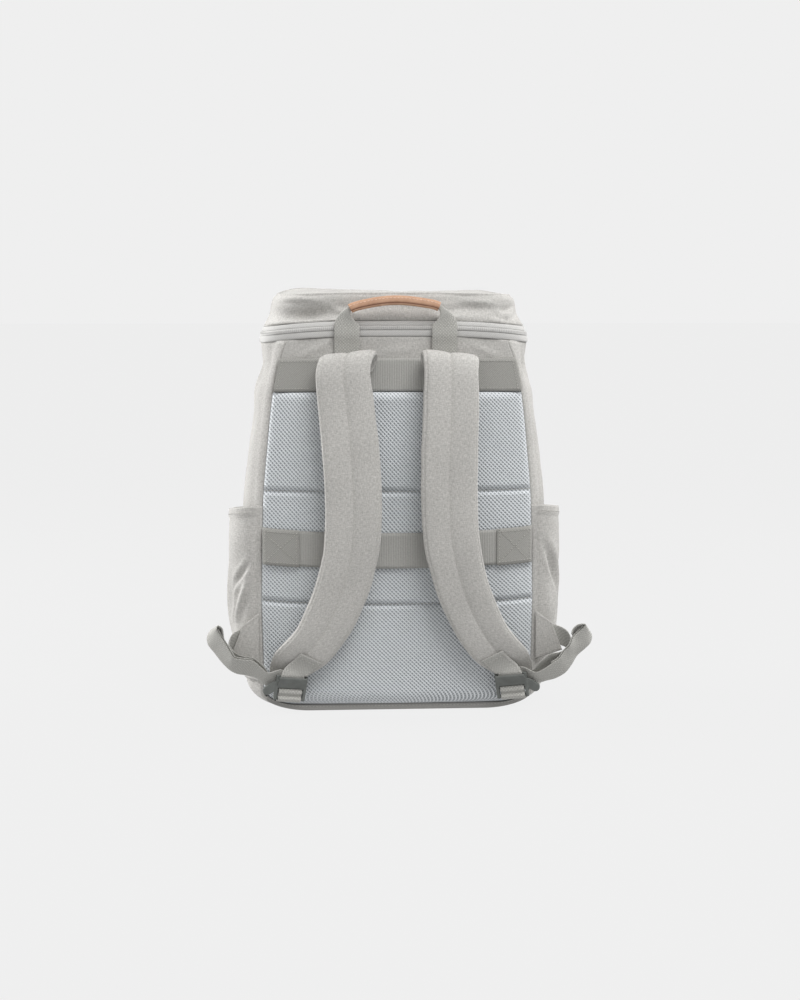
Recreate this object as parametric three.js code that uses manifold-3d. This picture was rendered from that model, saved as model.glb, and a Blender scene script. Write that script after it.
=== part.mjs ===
// A cotton backpack that stands on its base, with the side worn against the back facing -Y.
// Lengths are in millimetres, +Z is up, and the origin is in the middle of the flat base.
import * as THREE from "three";
import { mergeVertices } from "three/addons/utils/BufferGeometryUtils.js";
import Module from "manifold-3d";

const wasm = await Module();
wasm.setup();

// Cloth thickness, the clearance between pieces, and the plane of the seam round the back
const CLOTH = 2;
const GAP = 0.4;
const BACK_Y = -85;
// Points closer than this are one point when pieces are joined
const MERGE = 1e-3;

// Body outline by height: half-width at the back seam, half-width at the widest, front face
const BODY = [
  { z: 45, seam: 136.5, side: 152, front: 84 },
  { z: 110, seam: 138, side: 154, front: 88 },
  { z: 160, seam: 137, side: 153.6, front: 89 },
  { z: 205, seam: 136, side: 152, front: 88 },
  { z: 232, seam: 134.3, side: 149.6, front: 87 },
  { z: 262, seam: 131.5, side: 146, front: 85 },
  { z: 293, seam: 128.5, side: 141, front: 83 },
  { z: 318, seam: 125.3, side: 138.5, front: 81 },
  { z: 334, seam: 122.5, side: 133.8, front: 80 },
  { z: 346, seam: 120, side: 131, front: 79.5 },
  { z: 358, seam: 116.5, side: 132.4, front: 79.5 },
  { z: 374, seam: 110.5, side: 135.3, front: 80 },
];
// Heights of the rows of points up the body wall, above the rounded bottom
const BODY_HEIGHTS = [80, 120, 160, 200, 232, 262, 290, 312, 330, 345, 358, 373];
// The bottom edge is rounded under by these amounts: sideways, at the front and upwards
const BASE_ROUND = { side: 46, front: 40, height: 28, steps: 5 };
const SEAM_ROUND = { side: 50, height: 20 };
// Plan of the body from the back seam to the front: x by its share of the way from the seam
// to the widest side, or of the widest side, and y from the back seam or the front face
const PLAN = [
  { reach: 0, fromBack: 0 },
  { reach: 0.72, fromBack: 16 },
  { reach: 1, fromBack: 60 },
  { share: 0.985, fromFront: 44 },
  { share: 0.87, fromFront: 11 },
  { share: 0.5, fromFront: 1.5 },
];
const BODY_COLUMNS = 30;
// Folds of the body wall, by share of the way round from the right seam, and height
const BODY_FOLDS = [
  { round: 0.07, z: 352, spanRound: 0.025, spanZ: 16, depth: 3 },
  { round: 0.15, z: 335, spanRound: 0.03, spanZ: 26, depth: 3.5 },
  { round: 0.27, z: 300, spanRound: 0.04, spanZ: 50, depth: 3 },
  { round: 0.5, z: 345, spanRound: 0.12, spanZ: 14, depth: 3 },
  { round: 0.72, z: 310, spanRound: 0.04, spanZ: 45, depth: 3 },
  { round: 0.84, z: 340, spanRound: 0.03, spanZ: 24, depth: 3.5 },
  { round: 0.93, z: 350, spanRound: 0.027, spanZ: 18, depth: 3 },
];
// The top edge and the zip droop towards the sides
const DROOP = { depth: 7, halfWidth: 135, power: 3, from: 310, to: 374 };

// Flat bottom and the binding along the back edge
const BASE = { thick: 2.4, back: -84.8, inset: 1 };
const BINDING = { front: -88.6, back: -85.5, cornerSteps: 6, cornerTurn: 62, flatSteps: 4 };

// Back pad: faces, crown, rounded lower corners and the rows of points up it
const PAD = { back: -82.5, edge: -86.4, crown: 9.2, top: 317.4, bottom: 6.6, inset: 3 };
const PAD_ROUND = { side: 34, height: 18 };
const PAD_EDGE = { power: 5, top: 16, bottom: 26 };
const PAD_HEIGHTS = [
  6.6, 9, 14, 21, 30.6, 50, 75, 97, 107, 112, 117, 127, 139, 143.5, 148.5, 166, 184.5, 189.5, 196,
  206, 216, 221, 226, 238, 258, 278, 296, 308, 314, 317.4,
];
const PAD_SHARES = [-1, -0.96, -0.88, -0.72, -0.48, -0.24, 0, 0.24, 0.48, 0.72, 0.88, 0.96, 1];
// The pad and the band on it sag in the middle
const SAG = [
  { z: 12, sag: 0 },
  { z: 60, sag: 3 },
  { z: 112, sag: 5 },
  { z: 166, sag: 5.5 },
  { z: 221, sag: 1.5 },
  { z: 320, sag: 0 },
];
// Sewn channels across the pad, and the sunk one that lets a suitcase handle behind the band
const CHANNELS = [
  { z: 221, half: 1, slope: 5, depth: 5 },
  { z: 112, half: 1, slope: 5, depth: 5 },
  { z: 166.5, half: 18, slope: 5, depth: 6.4 },
];

// Yoke, upper band and trolley band, each with its outer face and thickness
const YOKE = { outer: -86.4, bottom: 317.9, top: 373.4, rows: 5, columns: 8 };
const UPPER_BAND = { thick: 1.8, bottom: 318, top: 350.6 };
const UPPER_PATCH = { thick: 1.2, inner: 58 };
const TROLLEY_BAND = { z: 166.5, height: 35, thick: 1.8, lift: 0.5 };
const TROLLEY_PATCH = { height: 36.5, thick: 1.4 };
// Shares of the half-width where the trolley band bends; its end patch covers the last ones
const BAND_SHARES = [0, 0.25, 0.5, 0.73, 0.79, 0.85, 0.9, 0.94, 0.975, 1];
const PATCH_SHARES = BAND_SHARES.slice(3);

// Zip and lid rings from the zip upwards. z is at the middle of the back, and droop is the
// share of the droop that the ring keeps, rise its share of the lid's rise to the front
const LOWER_TAPE = [
  { z: 374.2, seam: 110.5, side: 135.6, back: -86.6, front: 81, droop: 1, rise: 0 },
  { z: 380.2, seam: 110, side: 134, back: -87.2, front: 80.6, droop: 1, rise: 0 },
];
const COIL = [
  { z: 380.6, seam: 110, side: 134.6, back: -88.2, front: 81.6, droop: 1, rise: 0 },
  { z: 384, seam: 109.5, side: 133.4, back: -88, front: 81.3, droop: 1, rise: 0 },
];
const UPPER_TAPE = [
  { z: 384.4, seam: 109, side: 132.2, back: -86.8, front: 80, droop: 1, rise: 0 },
  { z: 389.2, seam: 108, side: 130.4, back: -85.2, front: 78.4, droop: 1, rise: 0 },
];
const LID_WALL = [
  { z: 390, seam: 108, side: 129.8, back: -85, front: 78.2, droop: 1, rise: 0 },
  { z: 393, seam: 108, side: 128, back: -85, front: 78.6, droop: 0.95, rise: 0.1 },
  { z: 399, seam: 106, side: 123.4, back: -82.5, front: 78, droop: 0.75, rise: 0.3 },
  { z: 405.5, seam: 104, side: 122, back: -80.5, front: 77, droop: 0.55, rise: 0.6 },
  { z: 411, seam: 102, side: 120, back: -79, front: 75, droop: 0.5, rise: 0.9 },
  { z: 414.4, seam: 97, side: 114.5, back: -75.5, front: 70, droop: 0.5, rise: 1 },
];
const RING_COLUMNS = 40;
// Where a ring bends from the back towards the side
const RING_CORNER = { middleShare: 0.5, share: 0.96, fromBack: 1.2 };
const ZIP_THICK = 1.6;
// Height that the lid gains at its front edge, by x
const LID_CREST = [
  { x: -126, rise: 0 },
  { x: -98, rise: 6.5 },
  { x: -60, rise: 4 },
  { x: 0, rise: -0.5 },
  { x: 42, rise: -2.5 },
  { x: 75, rise: 1 },
  { x: 96, rise: 4.5 },
  { x: 126, rise: 0 },
];
// Dents and rolls of the lid wall on the back: a negative depth stands out
const LID_FOLDS = [
  { x: -96, z: 405, spanX: 24, spanZ: 6, depth: 5 },
  { x: -92, z: 391, spanX: 42, spanZ: 4, depth: -2.5 },
  { x: -20, z: 402, spanX: 40, spanZ: 8, depth: 2.5 },
  { x: 70, z: 403, spanX: 26, spanZ: 8, depth: 2.5 },
  { x: 112, z: 400, spanX: 14, spanZ: 5, depth: 3 },
];
// Distance back from the middle where those dents begin, and where they are at full depth
const LID_FOLDS_FROM = 42;
const LID_FOLDS_FULL = 68;
// Rings of the top panel from its rim inwards: share of the rim's reach, and lift over the rim
const LID_TOP = [
  { share: 0.5, lift: 1.4 },
  { share: 0.88, lift: 1.3 },
  { share: 1, lift: 0 },
];
const LID_TOP_INSET = 2.3;
// Side view of the zip slider at the front: y and z of its corners, and its width
const SLIDER = {
  width: 7,
  outline: [
    [82.1, 386.4], [86, 386.4], [86, 379], [85, 378], [85, 357], [83.2, 356], [83.2, 378], [82.1, 379],
  ],
};

// Side pockets: height of each row of points, how far it bulges, and where it runs on the body
const POCKET = [
  { z: 30, bulge: 0 },
  { z: 46, bulge: 5.5 },
  { z: 64, bulge: 9 },
  { z: 88, bulge: 11.4 },
  { z: 116, bulge: 12.2 },
  { z: 146, bulge: 12.4 },
  { z: 176, bulge: 12.4 },
  { z: 205, bulge: 12 },
];
// The rim slopes down towards the front by the drop
const POCKET_RUN = { from: 0.004, to: 0.29, columns: 12, fullness: 0.55, drop: 16 };
const POCKET_FOLDS = [
  { along: 0.24, z: 135, spanAlong: 0.1, spanZ: 26, depth: 3 },
  { along: 0.36, z: 100, spanAlong: 0.05, spanZ: 30, depth: 2.5 },
  { along: 0.62, z: 150, spanAlong: 0.08, spanZ: 40, depth: 2.5 },
];

// Shoulder straps from the sewn end, over the fold and down to the buckle
const STRAP = [
  { left: -46, right: 48, y: -92.5, z: 337, width: 40, thick: 3 },
  { left: -46, right: 48, y: -92.8, z: 346, width: 49, thick: 3.4 },
  { left: -47, right: 49, y: -96, z: 354.5, width: 54.5, thick: 6 },
  { left: -49, right: 50, y: -103, z: 358, width: 55, thick: 8 },
  { left: -52, right: 50.5, y: -110.5, z: 353.5, width: 54.5, thick: 9.5 },
  { left: -54.8, right: 50.4, y: -114.5, z: 341, width: 53, thick: 11 },
  { left: -52.6, right: 50.4, y: -117, z: 312, width: 54, thick: 12 },
  { left: -48.7, right: 48.9, y: -120, z: 272, width: 55.5, thick: 12.5 },
  { left: -46.3, right: 47.9, y: -122, z: 233, width: 55.5, thick: 12.5 },
  { left: -45.3, right: 48.4, y: -122.5, z: 204, width: 55.5, thick: 12.5 },
  { left: -45.8, right: 49.4, y: -122.5, z: 184, width: 55, thick: 12.5 },
  { left: -47.7, right: 51.9, y: -122, z: 164, width: 55, thick: 12 },
  { left: -51.7, right: 56.3, y: -121, z: 145, width: 54.5, thick: 12 },
  { left: -57.1, right: 62.2, y: -119.5, z: 125, width: 55, thick: 12 },
  { left: -64.9, right: 70, y: -117.5, z: 105, width: 55.5, thick: 11.5 },
  { left: -74.2, right: 79.8, y: -115.5, z: 86, width: 55.5, thick: 11 },
  { left: -85, right: 89.7, y: -113, z: 71, width: 55.5, thick: 10 },
  { left: -96.8, right: 101.4, y: -109, z: 57, width: 52, thick: 8 },
  { left: -107, right: 112.5, y: -102.6, z: 45, width: 41, thick: 5.5 },
  { left: -114, right: 120.5, y: -97.4, z: 36.5, width: 29, thick: 3.6 },
];
const STRAP_STEPS = 32;
const STRAP_END_TILT = { from: 86, to: 44, drop: 0.26 };
// Section of a strap as shares of its width and thickness, with a stitched groove outside
const PADDED = [
  [-0.5, 0], [-0.45, 0.36], [-0.28, 0.5], [0, 0.4], [0.28, 0.5],
  [0.45, 0.36], [0.5, 0], [0.42, -0.44], [0, -0.5], [-0.42, -0.44],
];
const FLAT = [[-0.5, -0.5], [0.5, -0.5], [0.5, 0.5], [-0.5, 0.5]];

// Ladder buckle in its own frame, with its front at -Y and the tab's bar on top
const BUCKLE = {
  slot: 26, rail: 3, railDepth: 4.4, railTop: 12.6, railFoot: -12.2, bar: 1.6, barSides: 8,
};
const BUCKLE_BARS = { tab: 11, middle: -3.5, foot: -10.5 };
// Side view of the thumb plate, which slants forward over the tab: y and z of its corners
const BUCKLE_PLATE = [
  [1.6, 0.6], [-1.8, 0.2], [-7.2, 11.4], [-6.4, 12.8], [-4.8, 12.4], [-0.6, 3.4], [1.6, 3.4],
];
const BUCKLE_EAR = { x: -20, z: -1, length: 17, width: 9, turn: 40, depth: 3.2, steps: 6 };
const BUCKLE_PLACE = { x: -107.5, y: -110.6, z: 27.4, yaw: 15, roll: 7, lean: 8 };
// The right-hand buckle and webbing mirror the left ones, this much further out
const RIGHT_SHIFT = 4.5;

// Strap tab: on the strap in the bag's frame, then round the bar in the buckle's frame
const TAB = { width: 24, thick: 1.2, steps: 21 };
const TAB_ON_STRAP = [
  { x: -86.5, y: -115.5, z: 58, ax: 0.8, ay: 0.11, az: -0.55 },
  { x: -95, y: -112.4, z: 49.5, ax: 0.82, ay: 0.1, az: -0.5 },
  { x: -101.5, y: -112.6, z: 44, ax: 0.88, ay: 0.1, az: -0.4 },
];
const TAB_ROUND_BAR = [
  { y: -2.6, z: 13.5 },
  { y: -2.6, z: 11 },
  { y: -1.85, z: 9.15 },
  { y: 0, z: 8.4 },
  { y: 1.85, z: 9.15 },
  { y: 2.6, z: 11 },
  { y: 2.7, z: 13 },
];

// Adjusting webbing. First from behind the wing tab to the buckle in the bag's frame, then
// through the buckle in its frame, then the loose tail with its folded end in the bag's frame. The
// tail on the right is given as its mirror image. The a columns point across the webbing.
const WEBBING = { thick: 1.2, steps: 65 };
const WEBBING_ANCHOR = [
  { x: -148, y: -87.4, z: 76, ax: 0.36, ay: 0, az: 0.93, width: 24 },
  { x: -159, y: -87.8, z: 72.5, ax: 0.36, ay: 0, az: 0.93, width: 24 },
  { x: -166.5, y: -92, z: 68, ax: 0.2, ay: -0.25, az: 0.94, width: 24 },
  { x: -168.4, y: -97.4, z: 62, ax: 0.1, ay: -0.5, az: 0.86, width: 24 },
  { x: -163.4, y: -105, z: 57.4, ax: 0.05, ay: -0.72, az: 0.68, width: 24 },
  { x: -156, y: -109.8, z: 54.4, ax: 0.15, ay: -0.76, az: 0.63, width: 24 },
  { x: -148, y: -110.2, z: 52.2, ax: 0.36, ay: -0.68, az: 0.63, width: 24 },
  { x: -139, y: -110.2, z: 46.6, ax: 0.36, ay: -0.72, az: 0.58, width: 22 },
  { x: -129.5, y: -108, z: 35.6, ax: 0.2, ay: -0.45, az: 0.86, width: 17 },
];
const WEBBING_IN_BUCKLE = [
  { x: -12, y: 8.6, z: 1.6, ax: 0.35, az: 0.94, width: 16 },
  { x: -4, y: 7.4, z: -1.5, ax: 0.8, az: 0.6, width: 17 },
  { x: -0.5, y: 5.6, z: -7, ax: 1, az: 0, width: 21 },
  { x: 0, y: 3.1, z: -10.5, ax: 1, az: 0, width: 24 },
  { x: 0, y: 0, z: -13.6, ax: 1, az: 0, width: 24 },
  { x: 0, y: -3.1, z: -10.5, ax: 1, az: 0, width: 24 },
  { x: 0, y: -1.7, z: -7, ax: 1, az: 0, width: 24 },
  { x: 0, y: -2.7, z: -3.8, ax: 1, az: 0, width: 24 },
  { x: 0, y: -1.2, z: -1.1, ax: 1, az: 0, width: 24 },
  { x: 0, y: 1.5, z: -0.6, ax: 1, az: 0, width: 24 },
  { x: 0, y: 3.6, z: 0.4, ax: 1, az: 0, width: 23 },
  { x: -1.5, y: 5, z: 4.6, ax: 0.95, az: 0.3, width: 20 },
  { x: -6, y: 5, z: 8, ax: 0.7, az: 0.7, width: 15 },
  { x: -13, y: 4.8, z: 9.6, ax: 0.3, az: 0.95, width: 16 },
];
const WEBBING_TAILS = {
  left: [
    { x: -130.5, y: -113.8, z: 37.6, ax: 0.15, ay: -0.6, az: 0.78, width: 19 },
    { x: -139, y: -114.6, z: 43.2, ax: 0.34, ay: -0.82, az: 0.46, width: 22 },
    { x: -148, y: -114.8, z: 47.6, ax: 0.38, ay: -0.69, az: 0.61, width: 24 },
    { x: -158, y: -115.6, z: 49, ax: 0.2, ay: -0.76, az: 0.62, width: 24 },
    { x: -165.8, y: -115.8, z: 52.8, ax: 0.04, ay: -0.88, az: 0.46, width: 24 },
    { x: -172, y: -115, z: 60.2, ax: 0.06, ay: -0.96, az: 0.28, width: 24 },
    { x: -178, y: -113.6, z: 69.6, ax: 0.2, ay: -0.92, az: 0.34, width: 24 },
    { x: -182.6, y: -112, z: 77.6, ax: 0.3, ay: -0.86, az: 0.42, width: 24 },
    { x: -183.6, y: -111, z: 84, ax: 0.26, ay: -0.92, az: 0.28, width: 24 },
    { x: -180.6, y: -110.4, z: 88.6, ax: 0.2, ay: -0.95, az: 0.24, width: 24 },
    { x: -176.6, y: -110, z: 86.8, ax: 0.2, ay: -0.95, az: 0.24, width: 24 },
    { x: -175.4, y: -109.8, z: 81.4, ax: 0.2, ay: -0.95, az: 0.24, width: 24 },
    { x: -174.8, y: -109.6, z: 75.6, ax: 0.2, ay: -0.95, az: 0.24, width: 24 },
  ],
  right: [
    { x: -130.5, y: -113.8, z: 35.2, ax: 0.15, ay: -0.65, az: 0.74, width: 19 },
    { x: -140, y: -115, z: 36, ax: 0.16, ay: -0.83, az: 0.52, width: 22 },
    { x: -148.4, y: -115.2, z: 39.8, ax: 0.22, ay: -0.82, az: 0.53, width: 24 },
    { x: -157, y: -114.8, z: 45, ax: 0.28, ay: -0.77, az: 0.57, width: 24 },
    { x: -164, y: -114, z: 53.6, ax: 0.14, ay: -0.9, az: 0.42, width: 24 },
    { x: -168.6, y: -113, z: 62, ax: 0.32, ay: -0.8, az: 0.5, width: 24 },
    { x: -175, y: -112, z: 70.2, ax: 0.62, ay: -0.55, az: 0.56, width: 24 },
    { x: -181, y: -111, z: 76, ax: 0.5, ay: -0.58, az: 0.64, width: 24 },
    { x: -183.6, y: -110.2, z: 81.6, ax: 0.26, ay: -0.86, az: 0.43, width: 24 },
    { x: -180.4, y: -109.6, z: 85.6, ax: 0.25, ay: -0.9, az: 0.35, width: 24 },
    { x: -174, y: -109.2, z: 84.6, ax: 0.25, ay: -0.9, az: 0.35, width: 24 },
    { x: -169.4, y: -109.4, z: 80.4, ax: 0.25, ay: -0.9, az: 0.35, width: 24 },
    { x: -168, y: -109.6, z: 76.4, ax: 0.25, ay: -0.9, az: 0.35, width: 24 },
  ],
};
// Wing tab: the corners of its outer face, from the seam outwards
const WING = {
  thick: 2.2,
  top: [{ x: -138, y: -90.2, z: 99 }, { x: -154, y: -91.6, z: 87 }],
  foot: [{ x: -138, y: -90.2, z: 50 }, { x: -165, y: -92, z: 59 }],
};

// Grab handle: the webbing legs fold narrow into the sleeve. ax and az point across the webbing
const HANDLE = [
  { x: -50, y: -87.7, z: 351.5, ax: 1, az: 0, width: 25, thick: 1.8 },
  { x: -50, y: -88.8, z: 364, ax: 1, az: 0, width: 25, thick: 1.8 },
  { x: -50, y: -91.4, z: 374, ax: 1, az: 0, width: 25, thick: 1.8 },
  { x: -50, y: -92.6, z: 383, ax: 1, az: -0.05, width: 24.5, thick: 1.8 },
  { x: -50.2, y: -93.6, z: 389.5, ax: 0.95, az: -0.3, width: 18, thick: 2.4 },
  { x: -49.8, y: -94.8, z: 394.6, ax: 0.8, az: -0.6, width: 9, thick: 3.2 },
  { x: -46.8, y: -95.6, z: 399, ax: 0.5, az: -0.87, width: 4.6, thick: 3.4 },
  { x: -28, y: -96, z: 404.5, ax: 0.2, az: -1, width: 4.6, thick: 3.4 },
  { x: -3, y: -96.2, z: 407.3, ax: 0, az: -1, width: 4.6, thick: 3.4 },
  { x: 22, y: -96, z: 405.2, ax: -0.15, az: -1, width: 4.6, thick: 3.4 },
  { x: 40, y: -95.6, z: 401, ax: -0.4, az: -0.9, width: 4.6, thick: 3.4 },
  { x: 44.6, y: -94.8, z: 395.2, ax: -0.8, az: -0.6, width: 9, thick: 3.2 },
  { x: 46, y: -93.6, z: 389.5, ax: -0.95, az: -0.3, width: 18, thick: 2.4 },
  { x: 46, y: -92.6, z: 383, ax: -1, az: -0.05, width: 24.5, thick: 1.8 },
  { x: 46, y: -91.4, z: 374, ax: -1, az: 0, width: 25, thick: 1.8 },
  { x: 46, y: -88.8, z: 364, ax: -1, az: 0, width: 25, thick: 1.8 },
  { x: 46, y: -87.7, z: 351.5, ax: -1, az: 0, width: 25, thick: 1.8 },
];
const HANDLE_STEPS = 48;
// Leather sleeve between two rows of the handle, with its outer half-height and half-depth
const SLEEVE = { firstRow: 6, lastRow: 10, halfHeight: 4.6, halfDepth: 3.9, wall: 1.3, steps: 12, sides: 8 };

// Materials
const cotton = { color: 0xbdbab4, roughness: 0.95 };
const airMesh = { color: 0xb4babd, roughness: 0.9 };
const ribbing = { color: 0x8a8985, roughness: 0.9 };
const twill = { color: 0x8c8b87, roughness: 0.9 };
const webbing = { color: 0x989792, roughness: 0.9 };
const zipCloth = { color: 0xb4b3b1, roughness: 0.85 };
const leather = { color: 0xbe8560, roughness: 0.6 };
const plastic = { color: 0x5c5f5c, roughness: 0.5 };
const metal = { color: 0x8d8f90, roughness: 0.4, metalness: 0.9 };

const backpack = new THREE.Group();

const { lerp: mix, clamp, smoothstep, degToRad } = THREE.MathUtils;
const at = (row) => new THREE.Vector3(row.x, row.y, row.z);
const bell = (offset, span) => Math.exp(-((offset / span) ** 2));

function add(name, geometry, material) {
  const piece = new THREE.Mesh(geometry, new THREE.MeshStandardMaterial(material));
  piece.name = name;
  backpack.add(piece);
}

// One column of a table at a given place, on a smooth curve through its rows
function columnAt(table, column, place, along = "z") {
  const last = table.length - 1;
  let row = 0;
  while (row < last - 1 && place > table[row + 1][along]) row += 1;
  const slopeAt = (index) => {
    const before = table[Math.max(index - 1, 0)];
    const after = table[Math.min(index + 1, last)];
    return (after[column] - before[column]) / (after[along] - before[along]);
  };
  const start = table[row];
  const end = table[row + 1];
  const length = end[along] - start[along];
  const t = clamp((place - start[along]) / length, 0, 1);
  const ease = t * t * (3 - 2 * t);
  const lead = t * (1 - t) * (1 - t) * slopeAt(row);
  const tail = t * t * (t - 1) * slopeAt(row + 1);
  return mix(start[column], end[column], ease) + length * (lead + tail);
}

// A closed body from points and triangles, turned so that its faces point out
function solid(points, triangles) {
  let volume = 0;
  for (let i = 0; i < triangles.length; i += 3) {
    const [a, b, c] = [points[triangles[i]], points[triangles[i + 1]], points[triangles[i + 2]]];
    volume += a.dot(b.clone().cross(c));
  }
  const geometry = new THREE.BufferGeometry().setFromPoints(points);
  geometry.setIndex(volume < 0 ? [...triangles].reverse() : triangles);
  return geometry;
}

// Closes two equal grids of points, an outer and an inner face, into one wall
function wallBetween(outer, inner, closed = false) {
  const rows = outer.length;
  const columns = outer[0].length;
  const spans = closed ? columns : columns - 1;
  const place = (face, row, column) => (face * rows + row) * columns + (column % columns);
  const triangles = [];
  const quad = (a, b, c, d) => triangles.push(a, b, c, a, c, d);
  for (let row = 0; row < rows - 1; row += 1) {
    for (let column = 0; column < spans; column += 1) {
      const next = column + 1;
      quad(place(0, row, column), place(0, row, next), place(0, row + 1, next), place(0, row + 1, column));
      quad(place(1, row + 1, column), place(1, row + 1, next), place(1, row, next), place(1, row, column));
    }
  }
  const top = rows - 1;
  for (let column = 0; column < spans; column += 1) {
    const next = column + 1;
    quad(place(1, 0, column), place(1, 0, next), place(0, 0, next), place(0, 0, column));
    quad(place(0, top, column), place(0, top, next), place(1, top, next), place(1, top, column));
  }
  const end = columns - 1;
  for (let row = 0; row < top && !closed; row += 1) {
    quad(place(0, row, 0), place(0, row + 1, 0), place(1, row + 1, 0), place(1, row, 0));
    quad(place(1, row, end), place(1, row + 1, end), place(0, row + 1, end), place(0, row, end));
  }
  return solid([...outer.flat(), ...inner.flat()], triangles);
}

// A wall of even thickness inside a grid whose columns cross its rows to face outwards. A level
// wall is made thick sideways only, so that its edges stay level.
function wallInside(outer, thickness, closed = false, level = false) {
  const rows = outer.length;
  const columns = outer[0].length;
  const neighbour = (index, step, count) => {
    return closed ? (index + step + count) % count : clamp(index + step, 0, count - 1);
  };
  const inner = outer.map((row, rowIndex) => row.map((point, column) => {
    const along = row[neighbour(column, 1, columns)].clone().sub(row[neighbour(column, -1, columns)]);
    const above = outer[Math.min(rowIndex + 1, rows - 1)][column];
    const below = outer[Math.max(rowIndex - 1, 0)][column];
    const normal = along.cross(above.clone().sub(below));
    normal.z *= level ? 0 : 1;
    normal.normalize();
    return point.clone().addScaledVector(normal, -thickness);
  }));
  return wallBetween(outer, inner, closed);
}

// Joins closed rings of equal count into a body, with a fan on each end. Faces between rings are
// split along their shorter diagonal, so that both sides of a twisted strip are split alike.
function loft(rings) {
  const count = rings[0].length;
  const points = rings.flat();
  const triangles = [];
  for (let ring = 0; ring < rings.length - 1; ring += 1) {
    for (let index = 0; index < count; index += 1) {
      const a = ring * count + index;
      const b = ring * count + ((index + 1) % count);
      const forward = points[a].distanceTo(points[b + count]);
      const backward = points[b].distanceTo(points[a + count]);
      triangles.push(a, b, forward < backward ? b + count : a + count);
      triangles.push(forward < backward ? a : b, b + count, a + count);
    }
  }
  const ends = [[rings[0], 0, 1], [rings[rings.length - 1], (rings.length - 1) * count, -1]];
  for (const [ring, first, turn] of ends) {
    const middle = ring.reduce((sum, point) => sum.add(point), new THREE.Vector3()).divideScalar(count);
    points.push(middle);
    for (let index = 0; index < count; index += 1) {
      const a = first + index;
      const b = first + ((index + 1) % count);
      triangles.push(...(turn > 0 ? [b, a, points.length - 1] : [a, b, points.length - 1]));
    }
  }
  return solid(points, triangles);
}

// Even stations along a smooth curve through rows of centre, across, width and thick
function stationsAlong(rows, steps, first = 0, last = 1) {
  const centres = new THREE.CatmullRomCurve3(rows.map((row) => row.centre));
  const turns = new THREE.CatmullRomCurve3(rows.map((row) => row.across), false, "catmullrom");
  const sizes = rows.map((row) => new THREE.Vector3(row.width, row.thick, 0));
  const sections = new THREE.CatmullRomCurve3(sizes, false, "catmullrom");
  return Array.from({ length: steps + 1 }, (_, step) => {
    const t = mix(first, last, step / steps);
    const size = sections.getPoint(t);
    const along = centres.getTangent(t);
    const across = turns.getPoint(t).normalize();
    const normal = along.clone().cross(across).normalize();
    return { centre: centres.getPoint(t), across, normal, width: size.x, thick: size.y };
  });
}

// Sweeps a section, given as shares of width and thickness, along stations
function sweep(stations, section) {
  return loft(stations.map((station) => section.map(([sideways, outward]) => {
    return station.centre.clone()
      .addScaledVector(station.across, sideways * station.width)
      .addScaledVector(station.normal, outward * station.thick);
  })));
}

// Joins overlapping closed geometries into one body
function join(geometries) {
  const solids = geometries.map((geometry) => {
    geometry.deleteAttribute("normal");
    geometry.deleteAttribute("uv");
    const merged = mergeVertices(geometry, MERGE);
    const vertProperties = new Float32Array(merged.attributes.position.array);
    const triVerts = new Uint32Array(merged.index.array);
    return new wasm.Manifold(new wasm.Mesh({ numProp: 3, vertProperties, triVerts }));
  });
  const joined = solids.reduce((whole, next) => whole.add(next)).getMesh();
  const geometry = new THREE.BufferGeometry();
  geometry.setAttribute("position", new THREE.BufferAttribute(joined.vertProperties, 3));
  geometry.setIndex(new THREE.BufferAttribute(joined.triVerts, 1));
  return geometry;
}

// Mirrors a geometry to the right-hand side, keeping its faces turned out
function mirrored(geometry, shift) {
  const positions = geometry.attributes.position;
  const points = Array.from({ length: positions.count }, (_, index) => {
    const point = new THREE.Vector3().fromBufferAttribute(positions, index);
    point.x = shift - point.x;
    return point;
  });
  return solid(points, Array.from(geometry.index.array));
}

function addPair(name, geometry, material, shift = 0) {
  add(`${name}_left`, geometry, material);
  add(`${name}_right`, mirrored(geometry, shift), material);
}

// How far an edge is rounded in at a height: nought above the rounding, one at the floor
function roundedIn(z, height) {
  const missing = 1 - clamp(z / height, 0, 1);
  return 1 - Math.sqrt(1 - missing * missing);
}

function droopAt(x) {
  return DROOP.depth * Math.abs(x / DROOP.halfWidth) ** DROOP.power;
}

function bodySection(z) {
  const row = Math.max(z, BASE_ROUND.height);
  const inset = roundedIn(z, BASE_ROUND.height);
  return {
    seam: columnAt(BODY, "seam", row) - SEAM_ROUND.side * roundedIn(z, SEAM_ROUND.height),
    side: columnAt(BODY, "side", row) - BASE_ROUND.side * inset,
    back: BACK_Y,
    front: columnAt(BODY, "front", row) - BASE_ROUND.front * inset,
  };
}

// Points of the plan on the right-hand side, from the back seam to the front corner
function planSide({ seam, side, back, front }) {
  return PLAN.map((row) => {
    const x = row.share ? row.share * side : mix(seam, side, row.reach);
    const y = row.fromFront ? front - row.fromFront : back + row.fromBack;
    return new THREE.Vector3(x, y, 0);
  });
}

const flip = (point) => new THREE.Vector3(-point.x, point.y, point.z);

// The open outline of the body at one height, from the right seam round the front to the left
function bodyCurve(z) {
  const section = bodySection(z);
  const right = planSide(section);
  const left = right.map(flip).reverse();
  return new THREE.CatmullRomCurve3([...right, new THREE.Vector3(0, section.front, 0), ...left]);
}

// The closed outline of a zip or lid ring, from the middle of the back, right side first
function ringCurve(section) {
  const right = planSide(section);
  right[0].x *= RING_CORNER.share;
  right[0].y += RING_CORNER.fromBack;
  right.unshift(new THREE.Vector3(section.seam * RING_CORNER.middleShare, section.back, 0));
  const left = right.map(flip).reverse();
  const middle = new THREE.Vector3(0, section.back, 0);
  const front = new THREE.Vector3(0, section.front, 0);
  return new THREE.CatmullRomCurve3([middle, ...right, front, ...left], true);
}

function outwardAt(curve, t) {
  const along = curve.getTangent(t);
  return new THREE.Vector3(along.y, -along.x, 0);
}

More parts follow.
